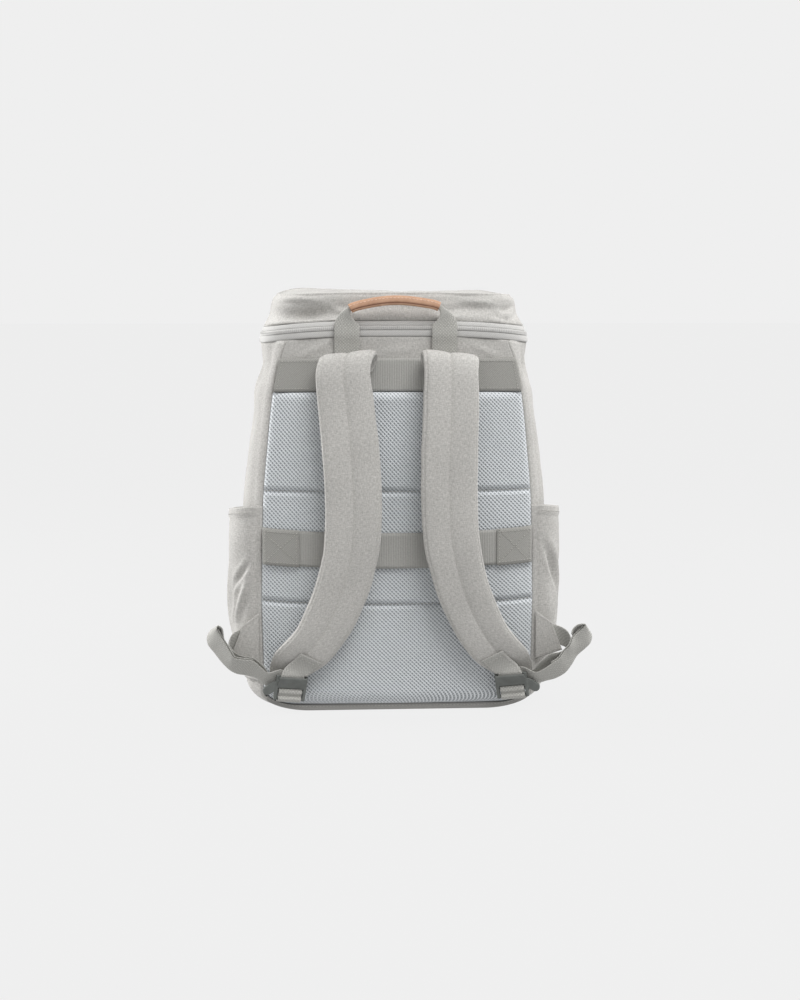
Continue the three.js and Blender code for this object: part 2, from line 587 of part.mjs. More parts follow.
function bodyPoint(t, z, push = 0) {
  const curve = bodyCurve(z);
  const point = curve.getPoint(t).addScaledVector(outwardAt(curve, t), push);
  point.z = z - droopAt(point.x) * smoothstep(z, DROOP.from, DROOP.to);
  return point;
}

// A flat piece on the back: rows of points at one y, made thicker towards +Y
function panel(grid, thickness) {
  const inner = grid.map((row) => row.map((point) => point.clone().setY(point.y + thickness)));
  return wallBetween(grid, inner);
}

// Body wall
function bodyWall() {
  const rounding = Array.from({ length: BASE_ROUND.steps + 1 }, (_, step) => {
    return BASE_ROUND.height * (1 - Math.cos((step / BASE_ROUND.steps) * (Math.PI / 2)));
  });
  const grid = [...rounding, ...BODY_HEIGHTS].map((z) => {
    return Array.from({ length: BODY_COLUMNS + 1 }, (_, column) => {
      const t = column / BODY_COLUMNS;
      const dents = BODY_FOLDS.map((fold) => {
        return fold.depth * bell(t - fold.round, fold.spanRound) * bell(z - fold.z, fold.spanZ);
      });
      return bodyPoint(t, z, -dents.reduce((sum, depth) => sum + depth));
    });
  });
  return wallInside(grid, CLOTH);
}

// Flat bottom inside the rounded edge of the body wall
function basePanel() {
  const curve = bodyCurve(0);
  const rim = Array.from({ length: BODY_COLUMNS + 1 }, (_, column) => {
    const t = column / BODY_COLUMNS;
    const point = curve.getPoint(t).addScaledVector(outwardAt(curve, t), -BASE.inset);
    point.y = Math.max(point.y, BASE.back);
    return point;
  });
  return new THREE.ExtrudeGeometry(new THREE.Shape(rim), { depth: BASE.thick, bevelEnabled: false });
}

function seamAt(z) {
  return columnAt(BODY, "seam", Math.max(z, BASE_ROUND.height));
}

function padHalf(z) {
  return seamAt(z) - PAD.inset - PAD_ROUND.side * roundedIn(z - PAD.bottom, PAD_ROUND.height);
}

// Binding between the lower edge of the pad and the floor, up round both corners
function baseBinding() {
  const padFlat = padHalf(PAD.bottom);
  const seamFlat = seamAt(0) - SEAM_ROUND.side;
  const flat = [];
  for (let step = 1 - BINDING.flatSteps; step < BINDING.flatSteps; step += 1) {
    const share = step / BINDING.flatSteps;
    flat.push([{ x: padFlat * share, z: PAD.bottom - GAP }, { x: seamFlat * share, z: 0 }]);
  }
  const corner = Array.from({ length: BINDING.cornerSteps + 1 }, (_, step) => {
    const angle = degToRad(BINDING.cornerTurn * (step / BINDING.cornerSteps));
    const across = Math.sin(angle);
    const up = 1 - Math.cos(angle);
    const upperZ = PAD.bottom - GAP + PAD_ROUND.height * up;
    const upper = { x: padFlat + (PAD_ROUND.side + GAP) * across, z: upperZ };
    const lower = { x: seamFlat + SEAM_ROUND.side * across, z: SEAM_ROUND.height * up };
    return [upper, lower];
  });
  const otherCorner = corner.map((pair) => pair.map(({ x, z }) => ({ x: -x, z }))).reverse();
  const columns = [...otherCorner, ...flat, ...corner];
  const grid = [1, 0].map((edge) => columns.map((pair) => at({ ...pair[edge], y: BINDING.front })));
  return panel(grid, BINDING.back - BINDING.front);
}

// The outer face of the pad, with the channels sunk into it or left out
function padFace(x, z, channels) {
  const share = Math.min(Math.abs(x) / padHalf(z), 1);
  const fromTop = clamp((PAD.top - z) / PAD_EDGE.top, 0, 1);
  const fromBottom = clamp((z - PAD.bottom) / PAD_EDGE.bottom, 0, 1);
  const ends = Math.sqrt(fromTop * (2 - fromTop) * fromBottom * (2 - fromBottom));
  let rise = PAD.crown * ends * Math.sqrt(1 - share ** PAD_EDGE.power);
  for (const channel of channels) {
    const away = Math.abs(z - channel.z) - channel.half;
    rise -= channel.depth * (1 - smoothstep(away, 0, channel.slope));
  }
  return PAD.edge - Math.max(rise, 0);
}

function sagAt(z, share) {
  return columnAt(SAG, "sag", z) * (1 - share * share);
}

function backPad() {
  const grid = PAD_HEIGHTS.map((z) => PAD_SHARES.map((share) => {
    const x = share * padHalf(z);
    return new THREE.Vector3(x, padFace(x, z, CHANNELS), z - sagAt(z, share));
  }));
  const back = grid.map((row) => row.map((point) => point.clone().setY(PAD.back)));
  return wallBetween(grid, back);
}

// Yoke above the pad, up to the zip
function yokePanel() {
  const grid = Array.from({ length: YOKE.rows + 1 }, (_, row) => {
    const z = mix(YOKE.bottom, YOKE.top, row / YOKE.rows);
    const half = seamAt(z) - PAD.inset;
    return Array.from({ length: YOKE.columns + 1 }, (_, column) => {
      const x = mix(-half, half, column / YOKE.columns);
      return new THREE.Vector3(x, YOKE.outer, z - droopAt(x) * smoothstep(z, DROOP.from, DROOP.to));
    });
  });
  return panel(grid, CLOTH);
}

// A strip on the back between two heights, from one place across to another. The places are
// worked out from the half-width at each height.
function strip(from, to, outer, thickness) {
  const grid = [UPPER_BAND.bottom, UPPER_BAND.top].map((z) => {
    const half = seamAt(z) - PAD.inset;
    return [new THREE.Vector3(from(half), outer, z), new THREE.Vector3(to(half), outer, z)];
  });
  return panel(grid, thickness);
}

// The trolley band or one of its patches, over the pad's crown
function bandOver(shares, lift, height, thickness) {
  const half = padHalf(TROLLEY_BAND.z);
  const grid = [-height / 2, height / 2].map((rise) => shares.map((share) => {
    const x = share * half;
    const y = padFace(x, TROLLEY_BAND.z, []) - lift - thickness;
    return new THREE.Vector3(x, y, TROLLEY_BAND.z + rise - sagAt(TROLLEY_BAND.z, share));
  }));
  return panel(grid, thickness);
}

// Zip and lid rings
function ringPoint(section, t, push = 0) {
  const curve = ringCurve(section);
  const point = curve.getPoint(t).addScaledVector(outwardAt(curve, t), push);
  const forward = clamp((point.y - section.back) / (section.front - section.back), 0, 1);
  const crest = columnAt(LID_CREST, "rise", point.x, "x");
  point.z = section.z - section.droop * droopAt(point.x) + section.rise * crest * forward;
  return point;
}

function ringWall(sections, thickness, level, pushAt = () => 0) {
  const grid = sections.map((section) => Array.from({ length: RING_COLUMNS }, (_, column) => {
    const t = column / RING_COLUMNS;
    return ringPoint(section, t, pushAt(ringPoint(section, t), section));
  }));
  return wallInside(grid, thickness, true, level);
}

// Dents on the back of the lid only, above the row that is sewn to the zip
function lidPush(point, section) {
  const sewn = section === LID_WALL[0];
  const onBack = sewn ? 0 : smoothstep(-point.y, LID_FOLDS_FROM, LID_FOLDS_FULL);
  const dents = LID_FOLDS.map((fold) => {
    return fold.depth * bell(point.x - fold.x, fold.spanX) * bell(section.z - fold.z, fold.spanZ);
  });
  return -onBack * dents.reduce((sum, depth) => sum + depth);
}

function lidTop() {
  const section = LID_WALL[LID_WALL.length - 1];
  const rim = Array.from({ length: RING_COLUMNS }, (_, column) => {
    const t = column / RING_COLUMNS;
    return ringPoint(section, t, lidPush(ringPoint(section, t), section) - LID_TOP_INSET);
  });
  const middle = rim.reduce((sum, point) => sum.add(point), new THREE.Vector3()).divideScalar(rim.length);
  const ring = (row, drop) => rim.map((point) => {
    const placed = middle.clone().lerp(point, row.share);
    placed.z += row.lift - drop;
    return placed;
  });
  const upper = LID_TOP.map((row) => ring(row, 0));
  const lower = LID_TOP.map((row) => ring(row, CLOTH)).reverse();
  return loft([...upper, ...lower]);
}

// A body of even width across X, from the y and z of its corners seen from the side
function sideOn(corners, width) {
  const outline = new THREE.Shape(corners.map(([y, z]) => new THREE.Vector2(y, z)));
  const geometry = new THREE.ExtrudeGeometry(outline, { depth: width, bevelEnabled: false });
  geometry.translate(0, 0, -width / 2);
  geometry.rotateX(Math.PI / 2);
  geometry.rotateZ(Math.PI / 2);
  return geometry;
}

// The right-hand bottle pocket, sewn to the body along its foot and both sides
function sidePocket() {
  const grid = POCKET.map(({ z, bulge }) => {
    return Array.from({ length: POCKET_RUN.columns + 1 }, (_, column) => {
      const along = column / POCKET_RUN.columns;
      const fullness = Math.sin(Math.PI * along) ** POCKET_RUN.fullness;
      const dents = POCKET_FOLDS.map((fold) => {
        return fold.depth * bell(along - fold.along, fold.spanAlong) * bell(z - fold.z, fold.spanZ);
      });
      const dent = dents.reduce((sum, depth) => sum + depth);
      const push = GAP + CLOTH + Math.max(bulge * fullness - dent, 0);
      const up = (z - POCKET[0].z) / (POCKET[POCKET.length - 1].z - POCKET[0].z);
      const lower = POCKET_RUN.drop * up * smoothstep(along, 0, 1);
      return bodyPoint(mix(POCKET_RUN.from, POCKET_RUN.to, along), z - lower, push);
    });
  });
  return wallInside(grid, CLOTH);
}

// A padded shoulder strap on the side named by its column of the table
function shoulderStrap(side) {
  const inward = side === "left" ? 1 : -1;
  const rows = STRAP.map((row) => {
    const tilt = STRAP_END_TILT.drop * (1 - smoothstep(row.z, STRAP_END_TILT.to, STRAP_END_TILT.from));
    return {
      centre: new THREE.Vector3(row[side], row.y, row.z),
      across: new THREE.Vector3(1, 0, -inward * tilt),
      width: row.width,
      thick: row.thick,
    };
  });
  return sweep(stationsAlong(rows, STRAP_STEPS), PADDED);
}

// Where the left-hand buckle hangs
function buckleFrame() {
  const turn = new THREE.Euler(
    degToRad(BUCKLE_PLACE.lean), degToRad(BUCKLE_PLACE.roll), degToRad(BUCKLE_PLACE.yaw), "ZYX",
  );
  return new THREE.Matrix4().makeRotationFromEuler(turn).setPosition(at(BUCKLE_PLACE));
}

function ladderBuckle() {
  const width = BUCKLE.slot + BUCKLE.rail;
  const railHeight = BUCKLE.railTop - BUCKLE.railFoot;
  const pieces = [-width / 2, width / 2].map((x) => {
    const rail = new THREE.BoxGeometry(BUCKLE.rail, BUCKLE.railDepth, railHeight);
    return rail.translate(x, 0, (BUCKLE.railTop + BUCKLE.railFoot) / 2);
  });
  for (const z of Object.values(BUCKLE_BARS)) {
    const bar = new THREE.CylinderGeometry(BUCKLE.bar, BUCKLE.bar, width, BUCKLE.barSides);
    pieces.push(bar.rotateZ(Math.PI / 2).translate(0, 0, z));
  }
  pieces.push(sideOn(BUCKLE_PLATE, width));
  const earOutline = new THREE.Shape();
  const reach = (BUCKLE_EAR.length - BUCKLE_EAR.width) / 2;
  earOutline.absarc(-reach, 0, BUCKLE_EAR.width / 2, Math.PI / 2, -Math.PI / 2);
  earOutline.absarc(reach, 0, BUCKLE_EAR.width / 2, -Math.PI / 2, Math.PI / 2);
  const ear = new THREE.ExtrudeGeometry(earOutline, {
    depth: BUCKLE_EAR.depth, bevelEnabled: false, curveSegments: BUCKLE_EAR.steps,
  });
  ear.translate(0, 0, -BUCKLE_EAR.depth / 2).rotateX(Math.PI / 2).rotateY(-degToRad(BUCKLE_EAR.turn));
  pieces.push(ear.translate(BUCKLE_EAR.x, 0, BUCKLE_EAR.z));
  return join(pieces).applyMatrix4(buckleFrame());
}

// A row of a webbing table, moved out of the buckle's frame where it is given in that
function webbingRow(row, width, thick, frame) {
  const centre = new THREE.Vector3(row.x ?? 0, row.y, row.z);
  const across = new THREE.Vector3(row.ax ?? 1, row.ay ?? 0, row.az ?? 0);
  if (frame) {
    centre.applyMatrix4(frame);
    across.transformDirection(frame);
  }
  return { centre, across, width, thick };
}

function strapTab() {
  const frame = buckleFrame();
  const rows = [
    ...TAB_ON_STRAP.map((row) => webbingRow(row, TAB.width, TAB.thick)),
    ...TAB_ROUND_BAR.map((row) => webbingRow(row, TAB.width, TAB.thick, frame)),
  ];
  return sweep(stationsAlong(rows, TAB.steps), FLAT);
}

// Webbing on the left-hand side, with the tail given
function lowerWebbing(tail) {
  const frame = buckleFrame();
  const rows = [
    ...WEBBING_ANCHOR.map((row) => webbingRow(row, row.width, WEBBING.thick)),
    ...WEBBING_IN_BUCKLE.map((row) => webbingRow(row, row.width, WEBBING.thick, frame)),
    ...tail.map((row) => webbingRow(row, row.width, WEBBING.thick)),
  ];
  return sweep(stationsAlong(rows, WEBBING.steps), FLAT);
}

function wingTab() {
  return panel([WING.foot.map(at), WING.top.map(at)], WING.thick);
}

function handleRows() {
  return HANDLE.map((row) => ({
    centre: at(row),
    across: new THREE.Vector3(row.ax, 0, row.az),
    width: row.width,
    thick: row.thick,
  }));
}

function handleSleeve() {
  const spans = HANDLE.length - 1;
  const stations = stationsAlong(
    handleRows(), SLEEVE.steps, SLEEVE.firstRow / spans, SLEEVE.lastRow / spans,
  );
  const grid = stations.map((station) => Array.from({ length: SLEEVE.sides }, (_, side) => {
    const angle = (side / SLEEVE.sides) * 2 * Math.PI;
    return station.centre.clone()
      .addScaledVector(station.across, SLEEVE.halfHeight * Math.cos(angle))
      .addScaledVector(station.normal, SLEEVE.halfDepth * Math.sin(angle));
  }));
  return wallInside(grid, SLEEVE.wall, true);
}

// Assembly, from the body outwards
add("body_wall", bodyWall(), cotton);
add("base_panel", basePanel(), cotton);
add("base_binding", baseBinding(), twill);
add("back_pad", backPad(), airMesh);
add("yoke_panel", yokePanel(), cotton);

const upperOuter = YOKE.outer - GAP - UPPER_BAND.thick;
const patchOuter = upperOuter - GAP - UPPER_PATCH.thick;
add("upper_band", strip((half) => -half, (half) => half, upperOuter, UPPER_BAND.thick), ribbing);
const upperPatch = strip((half) => -half, () => -UPPER_PATCH.inner, patchOuter, UPPER_PATCH.thick);
addPair("upper_patch", upperPatch, twill);

const bandShares = [...BAND_SHARES.slice(1).map((share) => -share).reverse(), ...BAND_SHARES];
const patchShares = PATCH_SHARES.map((share) => -share).reverse();
const patchLift = TROLLEY_BAND.lift + TROLLEY_BAND.thick + GAP;
const trolleyBand = bandOver(bandShares, TROLLEY_BAND.lift, TROLLEY_BAND.height, TROLLEY_BAND.thick);
const trolleyPatch = bandOver(patchShares, patchLift, TROLLEY_PATCH.height, TROLLEY_PATCH.thick);
add("trolley_band", trolleyBand, ribbing);
addPair("trolley_patch", trolleyPatch, twill);

add("zip_tape_lower", ringWall(LOWER_TAPE, ZIP_THICK, true), zipCloth);
add("zip_coil", ringWall(COIL, ZIP_THICK, true), zipCloth);
add("zip_tape_upper", ringWall(UPPER_TAPE, ZIP_THICK, true), zipCloth);
add("zip_slider", sideOn(SLIDER.outline, SLIDER.width), metal);
add("lid_wall", ringWall(LID_WALL, CLOTH, false, lidPush), cotton);
add("lid_top", lidTop(), cotton);

const pocket = sidePocket();
add("side_pocket_right", pocket, cotton);
add("side_pocket_left", mirrored(pocket, 0), cotton);

add("shoulder_strap_left", shoulderStrap("left"), cotton);
add("shoulder_strap_right", shoulderStrap("right"), cotton);
addPair("strap_tab", strapTab(), webbing, RIGHT_SHIFT);
addPair("ladder_buckle", ladderBuckle(), plastic, RIGHT_SHIFT);
add("lower_webbing_left", lowerWebbing(WEBBING_TAILS.left), webbing);
add("lower_webbing_right", mirrored(lowerWebbing(WEBBING_TAILS.right), RIGHT_SHIFT), webbing);
addPair("wing_tab", wingTab(), cotton);

add("handle_webbing", sweep(stationsAlong(handleRows(), HANDLE_STEPS), FLAT), webbing);
add("handle_sleeve", handleSleeve(), leather);

export default backpack;
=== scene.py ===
"""A grey cotton backpack seen from the side that is worn against the back."""
import math

import bmesh
import bpy
import numpy as np
from mathutils import Euler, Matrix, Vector, noise


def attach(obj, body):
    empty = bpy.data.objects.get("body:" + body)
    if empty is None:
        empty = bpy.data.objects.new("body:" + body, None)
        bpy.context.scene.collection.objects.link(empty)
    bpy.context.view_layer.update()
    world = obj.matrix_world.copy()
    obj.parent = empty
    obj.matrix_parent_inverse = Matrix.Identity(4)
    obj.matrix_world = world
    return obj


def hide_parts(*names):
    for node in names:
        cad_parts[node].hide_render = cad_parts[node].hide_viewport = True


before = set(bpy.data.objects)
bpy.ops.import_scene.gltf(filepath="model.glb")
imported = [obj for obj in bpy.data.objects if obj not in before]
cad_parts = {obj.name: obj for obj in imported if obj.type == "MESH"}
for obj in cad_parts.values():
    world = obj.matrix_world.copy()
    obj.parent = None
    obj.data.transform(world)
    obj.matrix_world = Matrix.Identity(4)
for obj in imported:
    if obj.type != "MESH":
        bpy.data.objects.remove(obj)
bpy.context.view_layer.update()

# Studio: a pale floor that runs out of sight, a broad soft light above the worn side and one further
# back on each side, as for a shop picture. The camera looks at the middle of the back from a little
# to the left and above.
CAMERA = {"azimuth": -4.0, "elevation": 6.0, "away": 1.9, "lens": 69.0, "sensor": 36.0}
CAMERA_AIM = Vector((0.0025, -0.085, 0.2102))
# Name, place, size, power in watts
LIGHTS = (
    ("key_light", (0.5, -1.05, 2.0), 1.1, 31.0),
    ("left_light", (-1.6, 0.55, 0.75), 1.0, 33.0),
    ("right_light", (1.7, 0.45, 0.75), 1.0, 16.0),
)
# The backdrop is brighter than the fill light that it gives, which is about the same from above and
# below. The floor glows as the backdrop does, so the two meet with no line
BACKDROP_GLOW = 0.863
FILL_ABOVE = 0.61
FILL_BELOW = 0.63
FILL_TURN = 0.4
FLOOR_GLOW = 0.838
FLOOR_REACH = 30.0
FLOOR_SHADE = "#242424"
WHITE = (1.0, 1.0, 1.0, 1.0)


def linear(shade):
    """A colour written as sRGB hex, in linear values."""
    values = [int(shade[place:place + 2], 16) / 255 for place in (1, 3, 5)]
    return tuple(v / 12.92 if v <= 0.04045 else ((v + 0.055) / 1.055) ** 2.4 for v in values) + (1.0,)


def add_node(tree, kind, settings=None, links=None):
    """Adds a node, sets its sockets and properties, and links outputs into its inputs."""
    node = tree.nodes.new(kind)
    for key, value in (settings or {}).items():
        if isinstance(key, str) and key not in node.inputs:
            setattr(node, key, value)
        else:
            node.inputs[key].default_value = value
    for key, output in (links or {}).items():
        tree.links.new(output, node.inputs[key])
    return node


def new_material(name, values):
    """A new material with values set on its surface; gives it and its tree."""
    material = bpy.data.materials.new(name)
    material.use_nodes = True
    for socket, value in values.items():
        material.node_tree.nodes["Principled BSDF"].inputs[socket].default_value = value
    return material, material.node_tree


def aim(thing, place, target):
    """Puts a light or a camera in its place and turns it to the target."""
    thing.location = place
    thing.rotation_euler = (Vector(target) - Vector(place)).to_track_quat("-Z", "Y").to_euler()
    bpy.context.scene.collection.objects.link(thing)


bpy.context.scene.view_settings.view_transform = "Standard"
world = bpy.data.worlds.new("soft_white")
world.use_nodes = True
sky = world.node_tree
seen = add_node(sky, "ShaderNodeLightPath")
facing = add_node(sky, "ShaderNodeTexCoord")
upward = add_node(sky, "ShaderNodeSeparateXYZ", links={"Vector": facing.outputs["Generated"]})
fill = add_node(sky, "ShaderNodeMapRange",
                {"From Min": -FILL_TURN, "From Max": FILL_TURN, "To Min": FILL_BELOW, "To Max": FILL_ABOVE},
                {"Value": upward.outputs["Z"]})
glow = add_node(sky, "ShaderNodeMapRange", {"To Max": BACKDROP_GLOW},
                {"Value": seen.outputs["Is Camera Ray"], "To Min": fill.outputs["Result"]})
sky.nodes["Background"].inputs["Color"].default_value = WHITE
sky.links.new(glow.outputs["Result"], sky.nodes["Background"].inputs["Strength"])
bpy.context.scene.world = world

turn = math.radians(CAMERA["azimuth"])
lift = math.radians(CAMERA["elevation"])
away = Vector((math.sin(turn) * math.cos(lift), -math.cos(turn) * math.cos(lift), math.sin(lift)))
camera_data = bpy.data.cameras.new("camera")
camera_data.sensor_fit = "VERTICAL"
camera_data.sensor_height = CAMERA["sensor"]
camera_data.lens = CAMERA["lens"]
camera = bpy.data.objects.new("camera", camera_data)
aim(camera, CAMERA_AIM + away * CAMERA["away"], CAMERA_AIM)
bpy.context.scene.camera = camera

for name, place, size, power in LIGHTS:
    light = bpy.data.lights.new(name, "AREA")
    light.size = size
    light.energy = power
    aim(bpy.data.objects.new(name, light), place, CAMERA_AIM)

# Matt floor paint, even and without a shine. It looks pale because it glows
floor_paint, _ = new_material("pale_floor_paint", {
    "Base Color": linear(FLOOR_SHADE), "Roughness": 1.0, "Specular IOR Level": 0.0,
    "Emission Color": WHITE, "Emission Strength": FLOOR_GLOW})
floor_mesh = bpy.data.meshes.new("floor")
floor_corners = [(x * FLOOR_REACH, y * FLOOR_REACH, 0) for x, y in ((-1, -1), (1, -1), (1, 1), (-1, 1))]
floor_mesh.from_pydata(floor_corners, [], [(0, 1, 2, 3)])
floor_mesh.materials.append(floor_paint)
floor = bpy.data.objects.new("floor", floor_mesh)
# The fill already stands for what the floor throws back
floor.visible_diffuse = False
bpy.context.scene.collection.objects.link(floor)

# Body wall: cotton canvas of mixed grey yarn, cut as one wrap from the right back seam round the
# front to the left one and sewn to the base along a rounded edge. It sags in soft folds under
# the zip and at the corners.
MM = 0.001
CLOTH = 2.0
BACK_Y = -85.0
BODY = {
    "z": [45, 110, 160, 205, 232, 262, 293, 318, 334, 346, 358, 374],
    "seam": [136.5, 138, 137, 136, 134.3, 131.5, 128.5, 125.3, 122.5, 120, 116.5, 110.5],
    "side": [152, 154, 153.6, 152, 149.6, 146, 141, 138.5, 133.8, 131, 132, 134],
    "front": [84, 88, 89, 88, 87, 85, 83, 81, 80, 79.5, 79.5, 80],
}
BODY_TOP = 371.8
BODY_ROWS = 92
BODY_COLUMNS = 230
# The bottom edge is rounded under by these amounts, sideways, at the front and upwards
BASE_ROUND = {"side": 46, "front": 40, "height": 28, "rows": 14}
SEAM_ROUND = {"side": 50, "height": 20}
# Plan of half the body: share of the way out from the seam and distance from the back, then
# share of the widest half-width and distance from the front
PLAN_BACK = ((0, 0), (0.72, 16), (1, 60))
PLAN_FRONT = ((0.985, 44), (0.87, 11), (0.5, 1.5))
DROOP = {"depth": 7, "half_width": 135, "power": 3, "start": 310, "end": 374}
# Hollows of the wall: share of the way round, height, reach each way and depth
BODY_HOLLOWS = (
    (0.07, 352, 0.025, 16, 3), (0.15, 335, 0.03, 26, 3.5), (0.27, 300, 0.04, 50, 3),
    (0.5, 345, 0.12, 14, 3), (0.72, 310, 0.04, 45, 3), (0.84, 340, 0.03, 24, 3.5),
    (0.93, 350, 0.027, 18, 3),
)
# Soft creases: start and end as distance round and height, half-width and depth
BODY_CREASES = (
    ((14, 366), (40, 322), 5, 1.6), ((30, 352), (66, 300), 8, -1.8), ((62, 362), (84, 268), 9, 1.8),
    ((120, 368), (136, 290), 8, 1.4), ((172, 366), (158, 250), 10, -1.6), ((205, 350), (236, 262), 12, 1.6),
    ((300, 362), (352, 334), 9, 1.5), ((392, 340), (330, 322), 10, -1.3), ((470, 360), (444, 282), 12, 1.6),
    ((520, 366), (508, 292), 8, 1.6), ((560, 362), (586, 262), 9, -1.6), ((640, 352), (612, 296), 8, 1.8),
    ((40, 262), (70, 214), 9, 1.3), ((612, 258), (640, 210), 9, 1.3), ((230, 60), (300, 34), 12, 1.5),
    ((372, 36), (450, 62), 12, 1.5), ((250, 190), (330, 176), 16, -1.2), ((360, 240), (440, 222), 16, 1.1),
)
BODY_RUMPLE = {"size": 46, "depth": 1.1, "seed": 3.0}
# The cloth lies still along its edges, up to these distances
BODY_STILL = {"seam": (0, 14), "foot": (4, 40), "top": (0, 8)}
# It rolls over beside the back seams: push, distance from the seam, reach, and heights where that grows
SEAM_ROLL = {"push": 1.3, "from_seam": 5, "reach": 3.2, "foot": (8, 45)}
# Edges turned in at the back seams to meet the pad: distance inwards, outwards and along the cloth
SEAM_TURN = ((1.8, 0.9, 2.0), (3.3, 0.2, 3.7))
SEAM_TURN_FOOT = (12, 30)
# Where the way round the wall is measured, and in how many points
GIRTH = {"z": 160.0, "points": 2000}
COTTON_SHADES = ("#a19f9b", "#d0ceca")
COTTON_SIZES = {"thread": 0.9, "streak": 3.4, "wash": 71.4, "relief": 0.35}
# Beside a crease the cloth dips by a share of its height, this many half-widths away
CREASE_DIP = {"share": 0.5, "away": 2}
# A wave texture of scale 1 repeats after this length
WAVE_LENGTH = 0.314


def smoothstep(value, low, high):
    """Rises softly from 0 at the low value to 1 at the high one."""
    share = np.clip((value - low) / (high - low), 0, 1)
    return share * share * (3 - 2 * share)


def bell(offset, reach):
    """A soft hump of height 1 that fades with the offset."""
    return np.exp(-(np.asarray(offset) / reach) ** 2)


def along_table(table, column, place, key="z"):
    """One column of a table at any place, on a smooth curve through its rows."""
    keys = np.asarray(table[key], float)
    values = np.asarray(table[column], float)
    place = np.asarray(place, float)
    before = np.maximum(np.arange(len(keys)) - 1, 0)
    after = np.minimum(np.arange(len(keys)) + 1, len(keys) - 1)
    slopes = (values[after] - values[before]) / (keys[after] - keys[before])
    row = np.clip(np.searchsorted(keys, place) - 1, 0, len(keys) - 2)
    length = keys[row + 1] - keys[row]
    t = np.clip((place - keys[row]) / length, 0, 1)
    ease = t * t * (3 - 2 * t)
    bend = t * (1 - t) ** 2 * slopes[row] + t * t * (t - 1) * slopes[row + 1]
    return values[row] * (1 - ease) + values[row + 1] * ease + length * bend


def spline(points, places, closed=False, even=False):
    """Points of a smooth curve through the given ones, at places from 0 to 1."""
    points = np.asarray(points, float)
    spans = len(points) if closed else len(points) - 1
    place = np.asarray(places, float) * spans
    first = np.clip(np.floor(place).astype(int), 0, spans - 1)
    t = (place - first)[:, None]
    if closed:
        p0, p1, p2, p3 = (points[(first + step) % len(points)] for step in (-1, 0, 1, 2))
    else:
        longer = np.vstack([2 * points[0] - points[1], points, 2 * points[-1] - points[-2]])
        p0, p1, p2, p3 = (longer[first + step] for step in range(4))
    gaps = [np.sqrt(np.linalg.norm(b - a, axis=1))[:, None] for a, b in ((p0, p1), (p1, p2), (p2, p3))]
    gap0, gap1, gap2 = (np.ones_like(gap) if even else np.maximum(gap, 1e-6) for gap in gaps)
    lead = gap1 * ((p1 - p0) / gap0 - (p2 - p0) / (gap0 + gap1) + (p2 - p1) / gap1)
    tail = gap1 * ((p2 - p1) / gap1 - (p3 - p1) / (gap1 + gap2) + (p3 - p2) / gap2)
    square = 3 * (p2 - p1) - 2 * lead - tail
    cube = 2 * (p1 - p2) + lead + tail
    return p1 + t * lead + t * t * square + t ** 3 * cube


def lengths(points):
    """Distance along a row of points, from its first."""
    steps = np.linalg.norm(np.diff(points, axis=0), axis=1)
    return np.concatenate([[0], np.cumsum(steps)])


def grid_normals(points, closed=False):
    """Directions straight out of rows of points."""
    if closed:
        along = np.roll(points, -1, axis=1) - np.roll(points, 1, axis=1)
    else:
        along = np.gradient(points, axis=1)
    normals = np.cross(along, np.gradient(points, axis=0))
    return normals / np.maximum(np.linalg.norm(normals, axis=2, keepdims=True), 1e-9)


def crease_push(u, v, creases):
    """Push out of a cloth by straight soft creases that fade towards both ends."""
    push = np.zeros_like(u)
    for (u0, v0), (u1, v1), width, height in creases:
        span = math.hypot(u1 - u0, v1 - v0)
        share = ((u - u0) * (u1 - u0) + (v - v0) * (v1 - v0)) / span ** 2
        aside = ((u - u0) * (v1 - v0) - (v - v0) * (u1 - u0)) / span
        fade = np.clip(1 - (2 * share - 1) ** 2, 0, 1)
        dip = CREASE_DIP["share"] * bell(np.abs(aside) - CREASE_DIP["away"] * width, width)
        push += height * fade * (bell(aside, width) - dip)
    return push


def rumple(points, size, depth, seed):
    """Soft random swell of a cloth by place."""
    shift = Vector((seed, seed, seed))
    values = [noise.noise(Vector(point) / size + shift) for point in points.reshape(-1, 3)]
    return depth * np.array(values).reshape(points.shape[:2])


def cloth_grid(name, points, uv, closed=False):
    """A piece from rows of points in mm, with its flat cut as its UV map in metres."""
    rows, columns = points.shape[:2]
    row, column = np.meshgrid(np.arange(rows - 1), np.arange(columns - (not closed)), indexing="ij")
    after = (column + 1) % columns
    corners = ((row, column, column), (row, after, column + 1), (row + 1, after, column + 1),
               (row + 1, column, column))
    faces = np.stack([r * columns + c for r, c, _ in corners], axis=-1).reshape(-1, 4)
    loops = np.stack([uv[r, k] for r, _, k in corners], axis=-2).reshape(-1, 2)
    mesh = bpy.data.meshes.new(name)
    mesh.from_pydata((points.reshape(-1, 3) * MM).tolist(), [], faces.tolist())
    mesh.uv_layers.new(name="cut").data.foreach_set("uv", (loops * MM).ravel())
    mesh.shade_smooth()
    piece = bpy.data.objects.new(name, mesh)
    bpy.context.scene.collection.objects.link(piece)
    return piece


def give_thickness(piece, thickness):
    """Makes a sheet a wall, from its outer face inwards."""
    wall = piece.modifiers.new("cloth", "SOLIDIFY")
    wall.thickness = thickness * MM
    wall.offset = -1


def to_surface(tree, links):
    """Links outputs into the sockets of a material's surface."""
    for socket, output in links.items():
        tree.links.new(output, tree.nodes["Principled BSDF"].inputs[socket])


def add_noise(tree, place, size, detail):
    """Adds soft noise with grains of a size in mm; gives its strength."""
    grains = add_node(tree, "ShaderNodeTexNoise", {"Scale": 1 / (size * MM), "Detail": detail},
                      {"Vector": place})
    return grains.outputs["Fac"]


